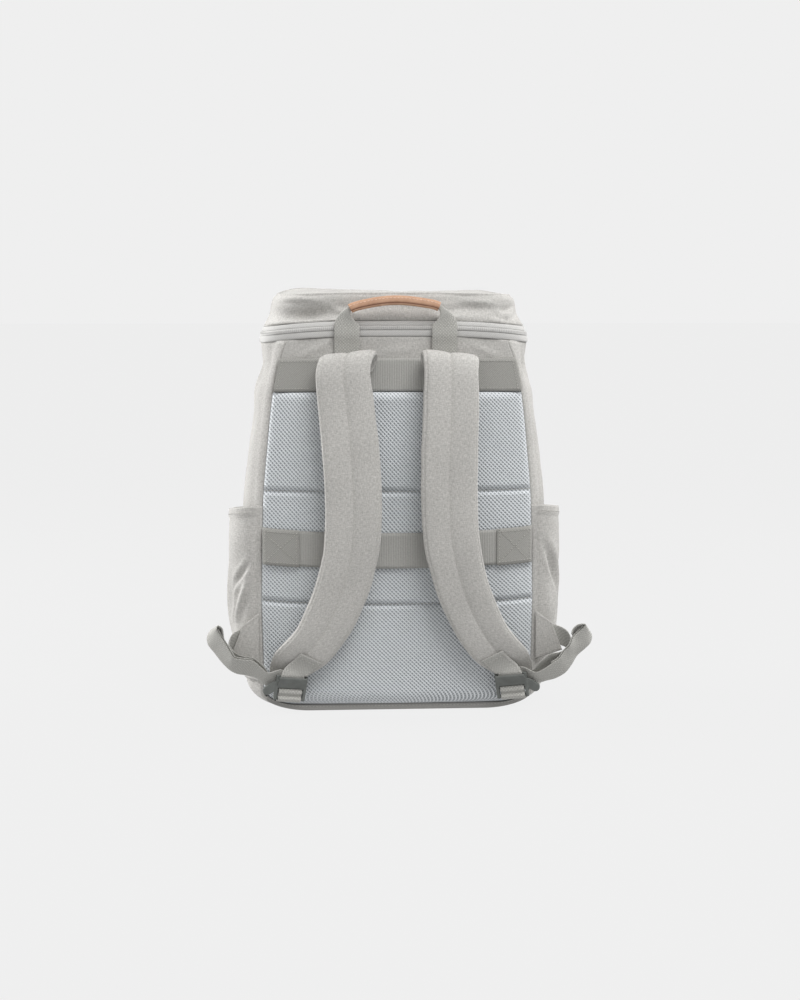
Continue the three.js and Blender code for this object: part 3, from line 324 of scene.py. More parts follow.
def mix_shades(tree, first, second, share):
    """Adds a mix of two shades; gives its colour."""
    mix = add_node(tree, "ShaderNodeMix", {"data_type": "RGBA", 6: linear(first), 7: linear(second)},
                   {0: share})
    return mix.outputs[2]


def add_relief(tree, strength, depth, height):
    """Adds a bump of a depth in mm; gives the direction out of the bumpy face."""
    bump = add_node(tree, "ShaderNodeBump", {"Strength": strength, "Distance": depth * MM},
                    {"Height": height})
    return bump.outputs["Normal"]


def fit(piece, slot, *nodes):
    """Lets a piece ride on the bag and stand for the solids named. The slot is not used."""
    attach(piece, "root")
    if nodes:
        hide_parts(*nodes)


def dress(piece, material, slot, *nodes):
    """Gives a piece its material and fits it."""
    piece.data.materials.append(material)
    fit(piece, slot, *nodes)


def melange_cotton(name, dark, light):
    """Plain-woven cotton of mixed yarn. Grey and off-white fibres streak along each thread, and
    the cloth is dry and matt with a faint fuzz. Threads are drawn at 0.9 mm, coarser than real."""
    thread = COTTON_SIZES["thread"] * MM
    streak = COTTON_SIZES["streak"] * MM
    material, tree = new_material(name, {
        "Roughness": 0.94, "Specular IOR Level": 0.25, "Sheen Weight": 0.12, "Sheen Roughness": 0.6})
    cut = add_node(tree, "ShaderNodeTexCoord")
    yarns = []
    for size in ((1 / thread, 1 / streak, 1), (1 / streak, 1 / thread, 1)):
        place = add_node(tree, "ShaderNodeMapping", {"Scale": size}, {"Vector": cut.outputs["UV"]})
        yarn = add_node(tree, "ShaderNodeTexNoise", {"Scale": 1.0, "Detail": 3.0, "Roughness": 0.65},
                        {"Vector": place.outputs["Vector"]})
        yarns.append(yarn.outputs["Fac"])
    mixed = add_node(tree, "ShaderNodeMath", {"operation": "ADD"}, {0: yarns[0], 1: yarns[1]})
    contrast = add_node(tree, "ShaderNodeMapRange", {"From Min": 0.72, "From Max": 1.3},
                        {"Value": mixed.outputs[0]})
    yarn_colour = mix_shades(tree, dark, light, contrast.outputs["Result"])
    wash = add_noise(tree, cut.outputs["Object"], COTTON_SIZES["wash"], detail=2.0)
    faded = add_node(tree, "ShaderNodeMapRange",
                     {"From Min": 0.3, "From Max": 0.7, "To Min": 0.93, "To Max": 1.05},
                     {"Value": wash})
    tone = add_node(tree, "ShaderNodeVectorMath", {"operation": "SCALE"},
                    {0: yarn_colour, "Scale": faded.outputs["Result"]})
    weave = []
    for direction in ("X", "Y"):
        wave = add_node(tree, "ShaderNodeTexWave",
                        {"bands_direction": direction, "Scale": WAVE_LENGTH / thread, "Distortion": 1.2,
                         "Detail": 1.0},
                        {"Vector": cut.outputs["UV"]})
        weave.append(wave.outputs["Fac"])
    height = add_node(tree, "ShaderNodeMath", {"operation": "ADD"}, {0: weave[0], 1: weave[1]})
    rough_height = add_node(tree, "ShaderNodeMath", {"operation": "ADD"},
                            {0: height.outputs[0], 1: mixed.outputs[0]})
    bumpy = add_relief(tree, 0.35, COTTON_SIZES["relief"], rough_height.outputs[0])
    to_surface(tree, {"Base Color": tone.outputs["Vector"], "Normal": bumpy})
    return material


def rounded_in(z, height):
    """Share by which a rounded lower edge is drawn in at a height."""
    missing = 1 - np.clip(np.asarray(z, float) / height, 0, 1)
    return 1 - np.sqrt(1 - missing * missing)


def droop_at(x):
    """How far the top of the bag hangs down towards its sides."""
    return DROOP["depth"] * np.abs(x / DROOP["half_width"]) ** DROOP["power"]


def seam_at(z):
    """Distance of the back seam from the middle."""
    return along_table(BODY, "seam", np.maximum(z, BASE_ROUND["height"]))


def plan_half(seam, side, back, front):
    """Points of the plan on the right-hand side, from the back seam to the front corner."""
    rear = [(seam + share * (side - seam), back + depth) for share, depth in PLAN_BACK]
    return np.array(rear + [(share * side, front - depth) for share, depth in PLAN_FRONT])


def body_outline(z, places):
    """Plan of the wall at a height, from the right back seam round to the left one."""
    row = max(z, BASE_ROUND["height"])
    inset = rounded_in(z, BASE_ROUND["height"])
    seam = along_table(BODY, "seam", row) - SEAM_ROUND["side"] * rounded_in(z, SEAM_ROUND["height"])
    front = along_table(BODY, "front", row) - BASE_ROUND["front"] * inset
    right = plan_half(seam, along_table(BODY, "side", row) - BASE_ROUND["side"] * inset, BACK_Y, front)
    return spline(np.vstack([right, [(0, front)], right[::-1] * (-1, 1)]), places)


def body_grid(places, heights):
    """Points of the plain body wall at shares of the way round and heights."""
    grid = np.empty((len(heights), len(places), 3))
    for row, z in enumerate(heights):
        grid[row, :, :2] = body_outline(z, places)
        settle = smoothstep(z, DROOP["start"], DROOP["end"])
        grid[row, :, 2] = z - droop_at(grid[row, :, 0]) * settle
    return grid


cotton = melange_cotton("melange_cotton_canvas", *COTTON_SHADES)
fine_places = np.linspace(0, 1, GIRTH["points"])
fine_round = lengths(body_outline(GIRTH["z"], fine_places))
body_places = np.interp(np.linspace(0, fine_round[-1], BODY_COLUMNS), fine_round, fine_places)
curl = np.linspace(0, math.pi / 2, BASE_ROUND["rows"], endpoint=False)
body_heights = np.concatenate([BASE_ROUND["height"] * (1 - np.cos(curl)),
                               np.linspace(BASE_ROUND["height"], BODY_TOP, BODY_ROWS)])
body_points = body_grid(body_places, body_heights)
body_u = np.broadcast_to(np.linspace(0, fine_round[-1], BODY_COLUMNS), body_points.shape[:2])
body_v = np.broadcast_to(body_heights[:, None], body_points.shape[:2])
body_share = np.broadcast_to(body_places, body_points.shape[:2])
body_push = crease_push(body_u, body_v, BODY_CREASES) + rumple(body_points, **BODY_RUMPLE)
for share, z, reach, tall, depth in BODY_HOLLOWS:
    body_push -= depth * bell(body_share - share, reach) * bell(body_v - z, tall)
from_seam = np.minimum(body_u, fine_round[-1] - body_u)
body_push *= smoothstep(from_seam, *BODY_STILL["seam"]) * smoothstep(body_v, *BODY_STILL["foot"])
body_push *= smoothstep(BODY_TOP - body_v, *BODY_STILL["top"])
seam_roll = SEAM_ROLL["push"] * bell(from_seam - SEAM_ROLL["from_seam"], SEAM_ROLL["reach"])
body_push += seam_roll * smoothstep(body_v, *SEAM_ROLL["foot"])
body_points = body_points + grid_normals(body_points) * body_push[..., None]
seam_settle = smoothstep(body_heights, *SEAM_TURN_FOOT)
right_edge, left_edge = body_points[:, 0], body_points[:, -1]
for inward, outward, along in SEAM_TURN:
    turn_in = np.stack([np.full_like(seam_settle, inward), -outward * seam_settle, 0 * seam_settle], axis=1)
    body_points = np.concatenate([(right_edge + turn_in * (-1, 1, 1))[:, None], body_points,
                                  (left_edge + turn_in)[:, None]], axis=1)
    ends = np.full((len(body_heights), 1), along)
    body_u = np.concatenate([-ends, body_u, fine_round[-1] + ends], axis=1)
body_v = np.broadcast_to(body_heights[:, None], body_points.shape[:2])
body_wall = cloth_grid("body_wall_cloth", body_points, np.stack([body_u, body_v], axis=-1))
give_thickness(body_wall, CLOTH)
dress(body_wall, cotton, "cotton", "body_wall")

# Base: the same canvas over a stiff board, set inside the rounded lower edge of the wall. It is
# flat underneath, and the bag stands on it.
BASE = {"thick": 2.4, "back": -84.8, "inset": 1.0, "rings": 10, "columns": 160}
# Points of a panel nearer to each other than this are one, and its swell dies away at its rim by this power
PANEL_WELD = 0.01
RIM_POWER = 8


def disc(name, rim, shares, lift_at, swell=None):
    """A panel from its rim inwards in rings, each at a share of the rim's reach, closed at the middle."""
    middle = rim.mean(axis=0)
    rings = np.stack([middle + (rim - middle) * share for share in shares])
    rings[..., 2] += np.asarray([lift_at(share) for share in shares])[:, None]
    if swell:
        rings[..., 2] += rumple(rings, **swell) * (1 - np.asarray(shares) ** RIM_POWER)[:, None]
    flat = rings[..., :2]
    piece = cloth_grid(name, rings, np.concatenate([flat, flat[:, :1]], axis=1), closed=True)
    shell = bmesh.new()
    shell.from_mesh(piece.data)
    bmesh.ops.remove_doubles(shell, verts=shell.verts, dist=PANEL_WELD * MM)
    shell.to_mesh(piece.data)
    shell.free()
    piece.data.shade_smooth()
    return piece


base_curve = body_outline(0.0, np.linspace(0, 1, BASE["columns"]))
base_out = np.gradient(base_curve, axis=0)
base_out = np.stack([base_out[:, 1], -base_out[:, 0]], axis=1)
base_curve = base_curve - BASE["inset"] * base_out / np.linalg.norm(base_out, axis=1, keepdims=True)
base_curve[:, 1] = np.maximum(base_curve[:, 1], BASE["back"])
base_rim = np.column_stack([base_curve, np.zeros(BASE["columns"])])
base_panel = disc("base_panel_cloth", base_rim, np.linspace(1, 0, BASE["rings"]), lambda share: 0.0)
give_thickness(base_panel, BASE["thick"])
base_panel.modifiers["cloth"].offset = 1
dress(base_panel, cotton, "cotton", "base_panel")

# Back pad: a foam pad covered in air mesh, a knitted cloth of small open cells, with two channels
# sewn across it and a sunk one that lets a suitcase handle pass behind the band. It sags a little
# in the middle and is bound into the seams on all sides.
PAD = {"back": -82.5, "edge": -86.4, "crown": 9.2, "top": 317.4, "bottom": 6.6, "inset": 3}
PAD_ROUND = {"side": 34, "height": 18}
# Reach of the rolled edges, and how far they run on behind the band above and the binding below
PAD_EDGE = {"power": 5, "top": 8, "bottom": 15, "tucked": 0.6}
SAG = {"z": [12, 60, 112, 166, 221, 320], "sag": [0, 3, 5, 5.5, 1.5, 0]}
# Channels across the pad: height, half-width of the floor, slope and depth
SEWN_CHANNELS = ((221, 0.7, 3.4, 3.6), (112, 0.7, 3.4, 3.6))
HANDLE_CHANNEL = (166.5, 11, 5, 6.4)
# Diamond cells of the knit: half their width, share of each that is open, how much longer that is along
# the slant of the knit, depth, share of it left at the floor, and half the width of the flat cloth
AIR_MESH = {"reach": 2.05, "open": 0.62, "stretch": 1.38, "depth": 0.9, "floor": 0.72, "half_width": 136.0}
# The first, darker colour is painted shade at the floor of the cells; the second is the pale rims
AIR_MESH_SHADES = ("#a5aaad", "#dfe2e5")
AIR_MESH_SIZES = {"yarn": 1.2, "relief": 0.3}
PAD_RUMPLE = {"size": 60, "depth": 1.0, "seed": 8.0}
# Cells and swell die away towards the edge, over these distances
PAD_STILL = {"cells": (0, 5), "swell": (0, 20)}
# Points nearer than this are one: between cells, and on the finished pad
MESH_WELD = {"cells": 0.05, "pad": 0.03}
# How dark the sides of the pad are, as a share of the cells' floor
SIDE_PIT = 0.3
# Stitches in the channels: share of the half-width that they reach, points and lift off the floor
CHANNEL_STITCHES = {"reach": 0.985, "points": 160, "lift": 0.5}
THREAD_STRAND = 0.9
THREAD_SHADES = ("#a3a19c", "#c4c2bd")


def new_tree(name, inputs):
    """A Geometry Nodes tree with named inputs; gives it and the outputs of its input node."""
    tree = bpy.data.node_groups.new(name, "GeometryNodeTree")
    for label, kind in inputs.items():
        tree.interface.new_socket(name=label, in_out="INPUT", socket_type="NodeSocket" + kind)
    tree.interface.new_socket(name="Geometry", in_out="OUTPUT", socket_type="NodeSocketGeometry")
    return tree, add_node(tree, "NodeGroupInput").outputs


def end_tree(tree, geometry, material):
    """Ends a tree in real faces that carry the material."""
    real = add_node(tree, "GeometryNodeRealizeInstances", links={"Geometry": geometry})
    painted = add_node(tree, "GeometryNodeSetMaterial",
                       links={"Geometry": real.outputs["Geometry"], "Material": material})
    add_node(tree, "NodeGroupOutput", links={"Geometry": painted.outputs["Geometry"]})


def run_tree(piece, tree, values):
    """Runs a piece through a tree and keeps the result as its plain mesh."""
    making = piece.modifiers.new("making", "NODES")
    making.node_group = tree
    for socket in tree.interface.items_tree:
        if socket.in_out == "INPUT" and socket.name in values:
            making[socket.identifier] = values[socket.name]
    graph = bpy.context.evaluated_depsgraph_get()
    made = bpy.data.meshes.new_from_object(piece.evaluated_get(graph))
    piece.modifiers.remove(making)
    piece.data = made
    return piece


def new_piece(name, points=(), edges=()):
    """A piece from loose points in mm and edges."""
    mesh = bpy.data.meshes.new(name)
    mesh.from_pydata([tuple(MM * value for value in point) for point in points], list(edges), [])
    piece = bpy.data.objects.new(name, mesh)
    bpy.context.scene.collection.objects.link(piece)
    return piece


def knitted_mesh(name, painted_pit_shade, light):
    """Polyester air mesh, knitted in open cells over foam. The rims are pale and matt, the cells are painted
    darker the deeper they go as painted shade in them, and the pale part has a slight silky sheen."""
    material, tree = new_material(name, {"Roughness": 0.8, "Specular IOR Level": 0.3, "Sheen Weight": 0.1})
    place = add_node(tree, "ShaderNodeTexCoord")
    pit = add_node(tree, "ShaderNodeAttribute", {"attribute_name": "pit"})
    yarn = add_noise(tree, place.outputs["Object"], AIR_MESH_SIZES["yarn"], detail=2.0)
    depth = add_node(tree, "ShaderNodeMath", {"operation": "MULTIPLY_ADD", 1: 0.35},
                     {0: yarn, 2: pit.outputs["Fac"]})
    share = add_node(tree, "ShaderNodeMapRange", {"From Min": 0.1, "From Max": 1.15},
                     {"Value": depth.outputs[0]})
    shade = mix_shades(tree, light, painted_pit_shade, share.outputs["Result"])
    to_surface(tree, {"Base Color": shade, "Normal": add_relief(tree, 0.4, AIR_MESH_SIZES["relief"], yarn)})
    return material


def spun_thread(name, dark, light):
    """Spun polyester sewing thread, twisted of fine strands: light and dark flecks, a dull shine."""
    material, tree = new_material(name, {"Roughness": 0.7})
    place = add_node(tree, "ShaderNodeTexCoord")
    strand = add_noise(tree, place.outputs["Object"], THREAD_STRAND, detail=2.0)
    to_surface(tree, {"Base Color": mix_shades(tree, dark, light, strand)})
    return material


def pad_half(z):
    """Half the width of the pad at a height."""
    return seam_at(z) - PAD["inset"] - PAD_ROUND["side"] * rounded_in(z - PAD["bottom"], PAD_ROUND["height"])


def pad_face(x, z, channels):
    """The outer face of the pad, with the channels given sunk into it."""
    x, z = np.asarray(x, float), np.asarray(z, float)
    share = np.minimum(np.abs(x) / pad_half(z), 1)
    from_top = np.clip((PAD["top"] + PAD_EDGE["tucked"] - z) / PAD_EDGE["top"], 0, 1)
    from_bottom = np.clip((z - PAD["bottom"] + PAD_EDGE["tucked"]) / PAD_EDGE["bottom"], 0, 1)
    ends = np.sqrt(from_top * (2 - from_top) * from_bottom * (2 - from_bottom))
    rise = PAD["crown"] * ends * np.sqrt(1 - share ** PAD_EDGE["power"])
    for middle, half, slope, depth in channels:
        rise = rise - depth * (1 - smoothstep(np.abs(z - middle) - half, 0, slope))
    return PAD["edge"] - np.maximum(rise, 0)


def sag_at(z, share):
    """How far lines across the pad sag, most in the middle."""
    return along_table(SAG, "sag", z) * (1 - share * share)


def pad_points(share, z, channels=SEWN_CHANNELS + (HANDLE_CHANNEL,)):
    """Points of the pad's face at shares of its half-width and heights."""
    x = share * pad_half(z)
    return np.stack([x, pad_face(x, z, channels), z - sag_at(z, share)], axis=-1)


def sew(name, runs, material, slot, pitch=3.4, length=2.5, thickness=0.7, height=0.7):
    """Rows of stitches along runs of points, a pitch apart."""
    points = np.concatenate(runs)
    edges = []
    first = 0
    for run in runs:
        edges += [(first + step, first + step + 1) for step in range(len(run) - 1)]
        first += len(run)
    piece = new_piece(name, points.tolist(), edges)
    sizes = {"Pitch": pitch, "Length": length, "Thickness": thickness, "Height": height}
    run_tree(piece, stitch_tree, {**{label: size * MM for label, size in sizes.items()}, "Thread": material})
    piece.data.shade_smooth()
    fit(piece, slot)


def air_mesh_cells():
    """A tree that knits a flat sheet of open diamond cells, with the foam sunk in each."""
    tree, given = new_tree("air_mesh_cells", {
        "Geometry": "Geometry", "Cell": "Float", "Width": "Float", "Height": "Float", "Columns": "Int",
        "Rows": "Int", "Shift": "Vector", "Open": "Float", "Stretch": "Float", "Depth": "Float",
        "Floor": "Float", "Cloth": "Material"})
    cell = add_node(tree, "GeometryNodeMeshCircle", {"fill_type": "NGON", "Vertices": 4},
                    {"Radius": given["Cell"]})
    rim = add_node(tree, "GeometryNodeExtrudeMesh", {"Offset Scale": 0.0}, {"Mesh": cell.outputs["Mesh"]})
    hole = add_node(tree, "GeometryNodeScaleElements", {}, {
        "Geometry": rim.outputs["Mesh"], "Selection": rim.outputs["Top"], "Scale": given["Open"]})
    slit = add_node(tree, "GeometryNodeScaleElements",
                    {"scale_mode": "SINGLE_AXIS", "Axis": (1.0, -1.0, 0.0)},
                    {"Geometry": hole.outputs["Geometry"], "Selection": rim.outputs["Top"],
                     "Scale": given["Stretch"]})
    sunk = add_node(tree, "ShaderNodeMath", {"operation": "MULTIPLY", 1: -1.0}, {0: given["Depth"]})
    pit = add_node(tree, "GeometryNodeExtrudeMesh", {}, {
        "Mesh": slit.outputs["Geometry"], "Selection": rim.outputs["Top"], "Offset Scale": sunk.outputs[0]})
    foam = add_node(tree, "GeometryNodeScaleElements", {}, {
        "Geometry": pit.outputs["Mesh"], "Selection": pit.outputs["Top"], "Scale": given["Floor"]})
    places = add_node(tree, "GeometryNodeMeshGrid", {}, {
        "Size X": given["Width"], "Size Y": given["Height"], "Vertices X": given["Columns"],
        "Vertices Y": given["Rows"]})
    between = add_node(tree, "GeometryNodeTransform", {},
                       {"Geometry": places.outputs["Mesh"], "Translation": given["Shift"]})
    all_places = add_node(tree, "GeometryNodeJoinGeometry", {}, {"Geometry": places.outputs["Mesh"]})
    tree.links.new(between.outputs["Geometry"], all_places.inputs["Geometry"])
    cells = add_node(tree, "GeometryNodeInstanceOnPoints", {}, {
        "Points": all_places.outputs["Geometry"], "Instance": foam.outputs["Geometry"]})
    loose = add_node(tree, "GeometryNodeRealizeInstances", {}, {"Geometry": cells.outputs["Instances"]})
    joined = add_node(tree, "GeometryNodeMergeByDistance", {"Distance": MESH_WELD["cells"] * MM},
                      {"Geometry": loose.outputs["Geometry"]})
    end_tree(tree, joined.outputs["Geometry"], given["Cloth"])
    return tree


def row_of_stitches():
    """A tree that lays stitches of thread along lines, a pitch apart."""
    tree, given = new_tree("row_of_stitches", {
        "Geometry": "Geometry", "Pitch": "Float", "Length": "Float", "Thickness": "Float", "Height": "Float",
        "Thread": "Material"})
    seam_line = add_node(tree, "GeometryNodeMeshToCurve", {}, {"Mesh": given["Geometry"]})
    needle_holes = add_node(tree, "GeometryNodeResampleCurve", {"mode": "LENGTH"},
                            {"Curve": seam_line.outputs["Curve"], "Length": given["Pitch"]})
    stitch = add_node(tree, "GeometryNodeMeshUVSphere", {"Segments": 6, "Rings": 4, "Radius": 0.5})
    stitch_size = add_node(tree, "ShaderNodeCombineXYZ", {}, {
        "X": given["Length"], "Y": given["Thickness"], "Z": given["Height"]})
    heading = add_node(tree, "GeometryNodeInputTangent")
    turned = add_node(tree, "FunctionNodeAlignRotationToVector", {"axis": "X"},
                      {"Vector": heading.outputs["Tangent"]})
    stitches = add_node(tree, "GeometryNodeInstanceOnPoints", {}, {
        "Points": needle_holes.outputs["Curve"], "Instance": stitch.outputs["Mesh"],
        "Rotation": turned.outputs["Rotation"], "Scale": stitch_size.outputs["Vector"]})
    end_tree(tree, stitches.outputs["Instances"], given["Thread"])
    return tree


stitch_tree = row_of_stitches()
thread = spun_thread("spun_polyester_thread", *THREAD_SHADES)
air_mesh = knitted_mesh("polyester_air_mesh", *AIR_MESH_SHADES)
cell_reach = AIR_MESH["reach"] * MM
pad_height = PAD["top"] - PAD["bottom"]
cell_columns = math.ceil(AIR_MESH["half_width"] / AIR_MESH["reach"]) + 2
cell_rows = math.ceil(pad_height / (2 * AIR_MESH["reach"])) + 2
back_pad = run_tree(new_piece("back_pad_mesh"), air_mesh_cells(), {
    "Cell": cell_reach, "Width": (cell_columns - 1) * 2 * cell_reach,
    "Height": (cell_rows - 1) * 2 * cell_reach, "Columns": cell_columns, "Rows": cell_rows,
    "Shift": (cell_reach, cell_reach, 0.0), "Open": AIR_MESH["open"], "Stretch": AIR_MESH["stretch"],
    "Depth": AIR_MESH["depth"] * MM, "Floor": AIR_MESH["floor"], "Cloth": air_mesh})

pad_shell = bmesh.new()
pad_shell.from_mesh(back_pad.data)
flat_cells = np.array([vertex.co for vertex in pad_shell.verts]) / MM
pad_share = flat_cells[:, 0] / AIR_MESH["half_width"]
pad_z = flat_cells[:, 1] + (PAD["top"] + PAD["bottom"]) / 2
past_edge = (np.abs(pad_share) >= 1) | (pad_z <= PAD["bottom"]) | (pad_z >= PAD["top"])
pad_share = np.clip(pad_share, -1, 1)
pad_z = np.clip(pad_z, PAD["bottom"], PAD["top"])
from_edge = np.minimum.reduce([(1 - np.abs(pad_share)) * AIR_MESH["half_width"], pad_z - PAD["bottom"],
                               PAD["top"] - pad_z])
pad_surface = pad_points(pad_share, pad_z)
pad_swell = rumple(pad_surface[None], **PAD_RUMPLE)[0]
pad_open = np.clip(-flat_cells[:, 2] / AIR_MESH["depth"], 0, 1)
pad_sunk = smoothstep(from_edge, *PAD_STILL["cells"]) * (AIR_MESH["depth"] * pad_open)
pad_surface[:, 1] += pad_sunk - smoothstep(from_edge, *PAD_STILL["swell"]) * pad_swell
# Each point keeps how deep it lies in its cell, and that paints the cell darker there as painted shade
pit_shade_layer = pad_shell.verts.layers.float.new("pit")
for vertex, place, share in zip(pad_shell.verts, (pad_surface * MM).tolist(), pad_open.tolist()):
    vertex.co = place
    vertex[pit_shade_layer] = share
pad_shell.verts.index_update()
stray = [face for face in pad_shell.faces if all(past_edge[vertex.index] for vertex in face.verts)]
bmesh.ops.delete(pad_shell, geom=stray, context="FACES")
bmesh.ops.remove_doubles(pad_shell, verts=pad_shell.verts, dist=MESH_WELD["pad"] * MM)
bmesh.ops.dissolve_degenerate(pad_shell, edges=pad_shell.edges, dist=MESH_WELD["pad"] * MM)
pad_border = [edge for edge in pad_shell.edges if edge.is_boundary]
pad_side = bmesh.ops.extrude_edge_only(pad_shell, edges=pad_border)["geom"]
for vertex in (part for part in pad_side if isinstance(part, bmesh.types.BMVert)):
    vertex.co.y = PAD["back"] * MM
    vertex[pit_shade_layer] = SIDE_PIT
bmesh.ops.holes_fill(pad_shell, edges=[edge for edge in pad_shell.edges if edge.is_boundary])
bmesh.ops.recalc_face_normals(pad_shell, faces=pad_shell.faces)
pad_shell.to_mesh(back_pad.data)
pad_shell.free()
back_pad.data.shade_smooth()
fit(back_pad, "air_mesh", "back_pad")
channel_reach = CHANNEL_STITCHES["reach"]
channel_shares = np.linspace(-channel_reach, channel_reach, CHANNEL_STITCHES["points"])
channel_runs = []
for height, *_ in SEWN_CHANNELS:
    channel_floor = pad_points(channel_shares, np.full_like(channel_shares, height))
    channel_runs.append(channel_floor - (0, CHANNEL_STITCHES["lift"], 0))
sew("channel_stitches", channel_runs, thread, "air_mesh")

# Base binding: a strip of grey twill folded over the lower edge of the pad, the base and the wall,
# sewn through all of them and turned up round both corners.
BINDING = {"front": -88.6, "back": -85.5, "turn": 62, "corner_rows": 14, "flat_rows": 30, "gap": 0.4,
           "steps_per_row": 3}
# Its stitches: share of the way up, and lift off the face
BINDING_STITCHES = {"share": 0.65, "lift": 0.2}
TWILL_SHADES = ("#8f8e8a", "#aaa9a4")
BINDING_SHADES = ("#8c8b88", "#a6a4a1")
WEAVE_SIZES = {"fibre": 1.6, "relief": 0.4}
# Corners of a flat strip with rounded edges, as shares of its width and thickness
SOFT_STRIP = (
    (-0.5, 0), (-0.485, 0.32), (-0.44, 0.5), (-0.2, 0.5), (0.2, 0.5), (0.44, 0.5), (0.485, 0.32),
    (0.5, 0), (0.485, -0.32), (0.44, -0.5), (0.2, -0.5), (-0.2, -0.5), (-0.44, -0.5), (-0.485, -0.32),
)
# Share of a strip's length over which its direction is taken
HEADING_STEP = 1e-4


def ribbed_weave(name, dark, light, pitch, tilts, strength=0.6):
    """Narrow-woven tape. Yarns stand in even diagonal or straight ribs, with painted light on one flank and
    painted shade in the grooves, over fibres of mixed grey. The ribs are drawn at 1.6 mm or more,
    coarser than real."""
    material, tree = new_material(name, {"Roughness": 0.85, "Specular IOR Level": 0.3, "Sheen Weight": 0.08})
    cut = add_node(tree, "ShaderNodeTexCoord")
    ribs = []
    for tilt in tilts:
        turned_cut = add_node(tree, "ShaderNodeMapping", {"Rotation": (0, 0, math.radians(tilt))},
                              {"Vector": cut.outputs["UV"]})
        rib = add_node(tree, "ShaderNodeTexWave",
                       {"Scale": WAVE_LENGTH / (pitch * MM), "Distortion": 0.6, "Detail": 1.0},
                       {"Vector": turned_cut.outputs["Vector"]})
        ribs.append(rib.outputs["Fac"])
    raised = add_node(tree, "ShaderNodeMath", {"operation": "MULTIPLY"}, {0: ribs[0], 1: ribs[-1]})
    fibre = add_noise(tree, cut.outputs["UV"], WEAVE_SIZES["fibre"], detail=3.0)
    # The ribs paint the colour lighter and the grooves darker, as painted light and shade over the fibres'
    # mixed grey
    mixed = add_node(tree, "ShaderNodeMath", {"operation": "MULTIPLY_ADD", 1: strength},
                     {0: raised.outputs[0], 2: fibre})
    share = add_node(tree, "ShaderNodeMapRange", {"From Min": 0.3, "From Max": 0.75 + strength},
                     {"Value": mixed.outputs[0]})
    shade = mix_shades(tree, dark, light, share.outputs["Result"])
    bumpy = add_relief(tree, 0.5, WEAVE_SIZES["relief"], mixed.outputs[0])
    to_surface(tree, {"Base Color": shade, "Normal": bumpy})
    return material


def stations_along(rows, steps, first=0.0, last=1.0):
    """Stations on a smooth curve through rows of centre, across, width and thickness."""
    rows = np.asarray(rows, float)
    places = np.linspace(first, last, steps + 1)
    across = spline(rows[:, 3:6], places, even=True)
    ahead = spline(rows[:, :3], np.minimum(places + HEADING_STEP, 1))
    ahead = ahead - spline(rows[:, :3], np.maximum(places - HEADING_STEP, 0))
    across /= np.linalg.norm(across, axis=1, keepdims=True)
    normal = np.cross(ahead, across)
    normal /= np.linalg.norm(normal, axis=1, keepdims=True)
    return spline(rows[:, :3], places), across, normal, spline(rows[:, 6:8], places, even=True)


def swept_points(stations, section):
    """Points of a section, given as shares of width and thickness, at each station."""
    centre, across, normal, size = stations
    section = np.asarray(section, float)
    sideways = section[None, :, :1] * (across * size[:, :1])[:, None]
    outward = section[None, :, 1:] * (normal * size[:, 1:])[:, None]
    return centre[:, None] + sideways + outward


def closed_sweep(name, grid):
    """A closed body from rings of points, with both ends filled."""
    loops = np.concatenate([grid, grid[:, :1]], axis=1)
    widest = np.argmax(np.linalg.norm(np.diff(loops, axis=1), axis=2).sum(axis=1))
    around = lengths(loops[widest])
    along = lengths(grid.mean(axis=1))
    uv = np.stack(np.broadcast_arrays(around[None], along[:, None]), axis=-1)
    piece = cloth_grid(name, grid, uv, closed=True)
    shell = bmesh.new()
    shell.from_mesh(piece.data)
    bmesh.ops.holes_fill(shell, edges=[edge for edge in shell.edges if edge.is_boundary])
    bmesh.ops.recalc_face_normals(shell, faces=shell.faces)
    shell.to_mesh(piece.data)
    shell.free()
    piece.data.shade_smooth()
    return piece


twill = ribbed_weave("grey_cotton_twill", *TWILL_SHADES, pitch=1.6, tilts=(45,))
binding_angles = np.radians(np.linspace(0, BINDING["turn"], BINDING["corner_rows"]))
pad_flat = float(pad_half(PAD["bottom"]))
seam_flat = float(seam_at(0.0)) - SEAM_ROUND["side"]
turn_out = np.sin(binding_angles)
turn_up = 1 - np.cos(binding_angles)
corner_upper = np.stack([pad_flat + (PAD_ROUND["side"] + BINDING["gap"]) * turn_out,
                         PAD["bottom"] - BINDING["gap"] + PAD_ROUND["height"] * turn_up], axis=1)
corner_lower = np.stack([seam_flat + SEAM_ROUND["side"] * turn_out, SEAM_ROUND["height"] * turn_up], axis=1)
flat_shares = np.linspace(-1, 1, BINDING["flat_rows"])[1:-1, None]
flat_upper = flat_shares * (pad_flat, 0) + (0, corner_upper[0, 1])
upper_edge = np.concatenate([corner_upper[::-1] * (-1, 1), flat_upper, corner_upper])
lower_edge = np.concatenate([corner_lower[::-1] * (-1, 1), flat_shares * (seam_flat, 0), corner_lower])
binding_rows = []
for upper, lower in zip(upper_edge, lower_edge):
    middle = (upper + lower) / 2
    rise = upper - lower
    binding_rows.append((middle[0], (BINDING["front"] + BINDING["back"]) / 2, middle[1], rise[0], 0, rise[1],
                         np.linalg.norm(rise), BINDING["back"] - BINDING["front"]))
binding_stations = stations_along(binding_rows, BINDING["steps_per_row"] * len(binding_rows))
base_binding = closed_sweep("base_binding_tape", swept_points(binding_stations, SOFT_STRIP))
binding_twill = ribbed_weave("dark_binding_twill", *BINDING_SHADES, pitch=1.6, tilts=(45,))
dress(base_binding, binding_twill, "twill", "base_binding")
stitch_share = BINDING_STITCHES["share"]
stitch_height = (1 - stitch_share) * lower_edge[:, 1] + stitch_share * upper_edge[:, 1]
binding_run = np.stack(np.broadcast_arrays(lower_edge[:, 0], BINDING["front"] - BINDING_STITCHES["lift"],
                                           stitch_height), axis=1)
sew("binding_stitches", [binding_run], thread, "twill")

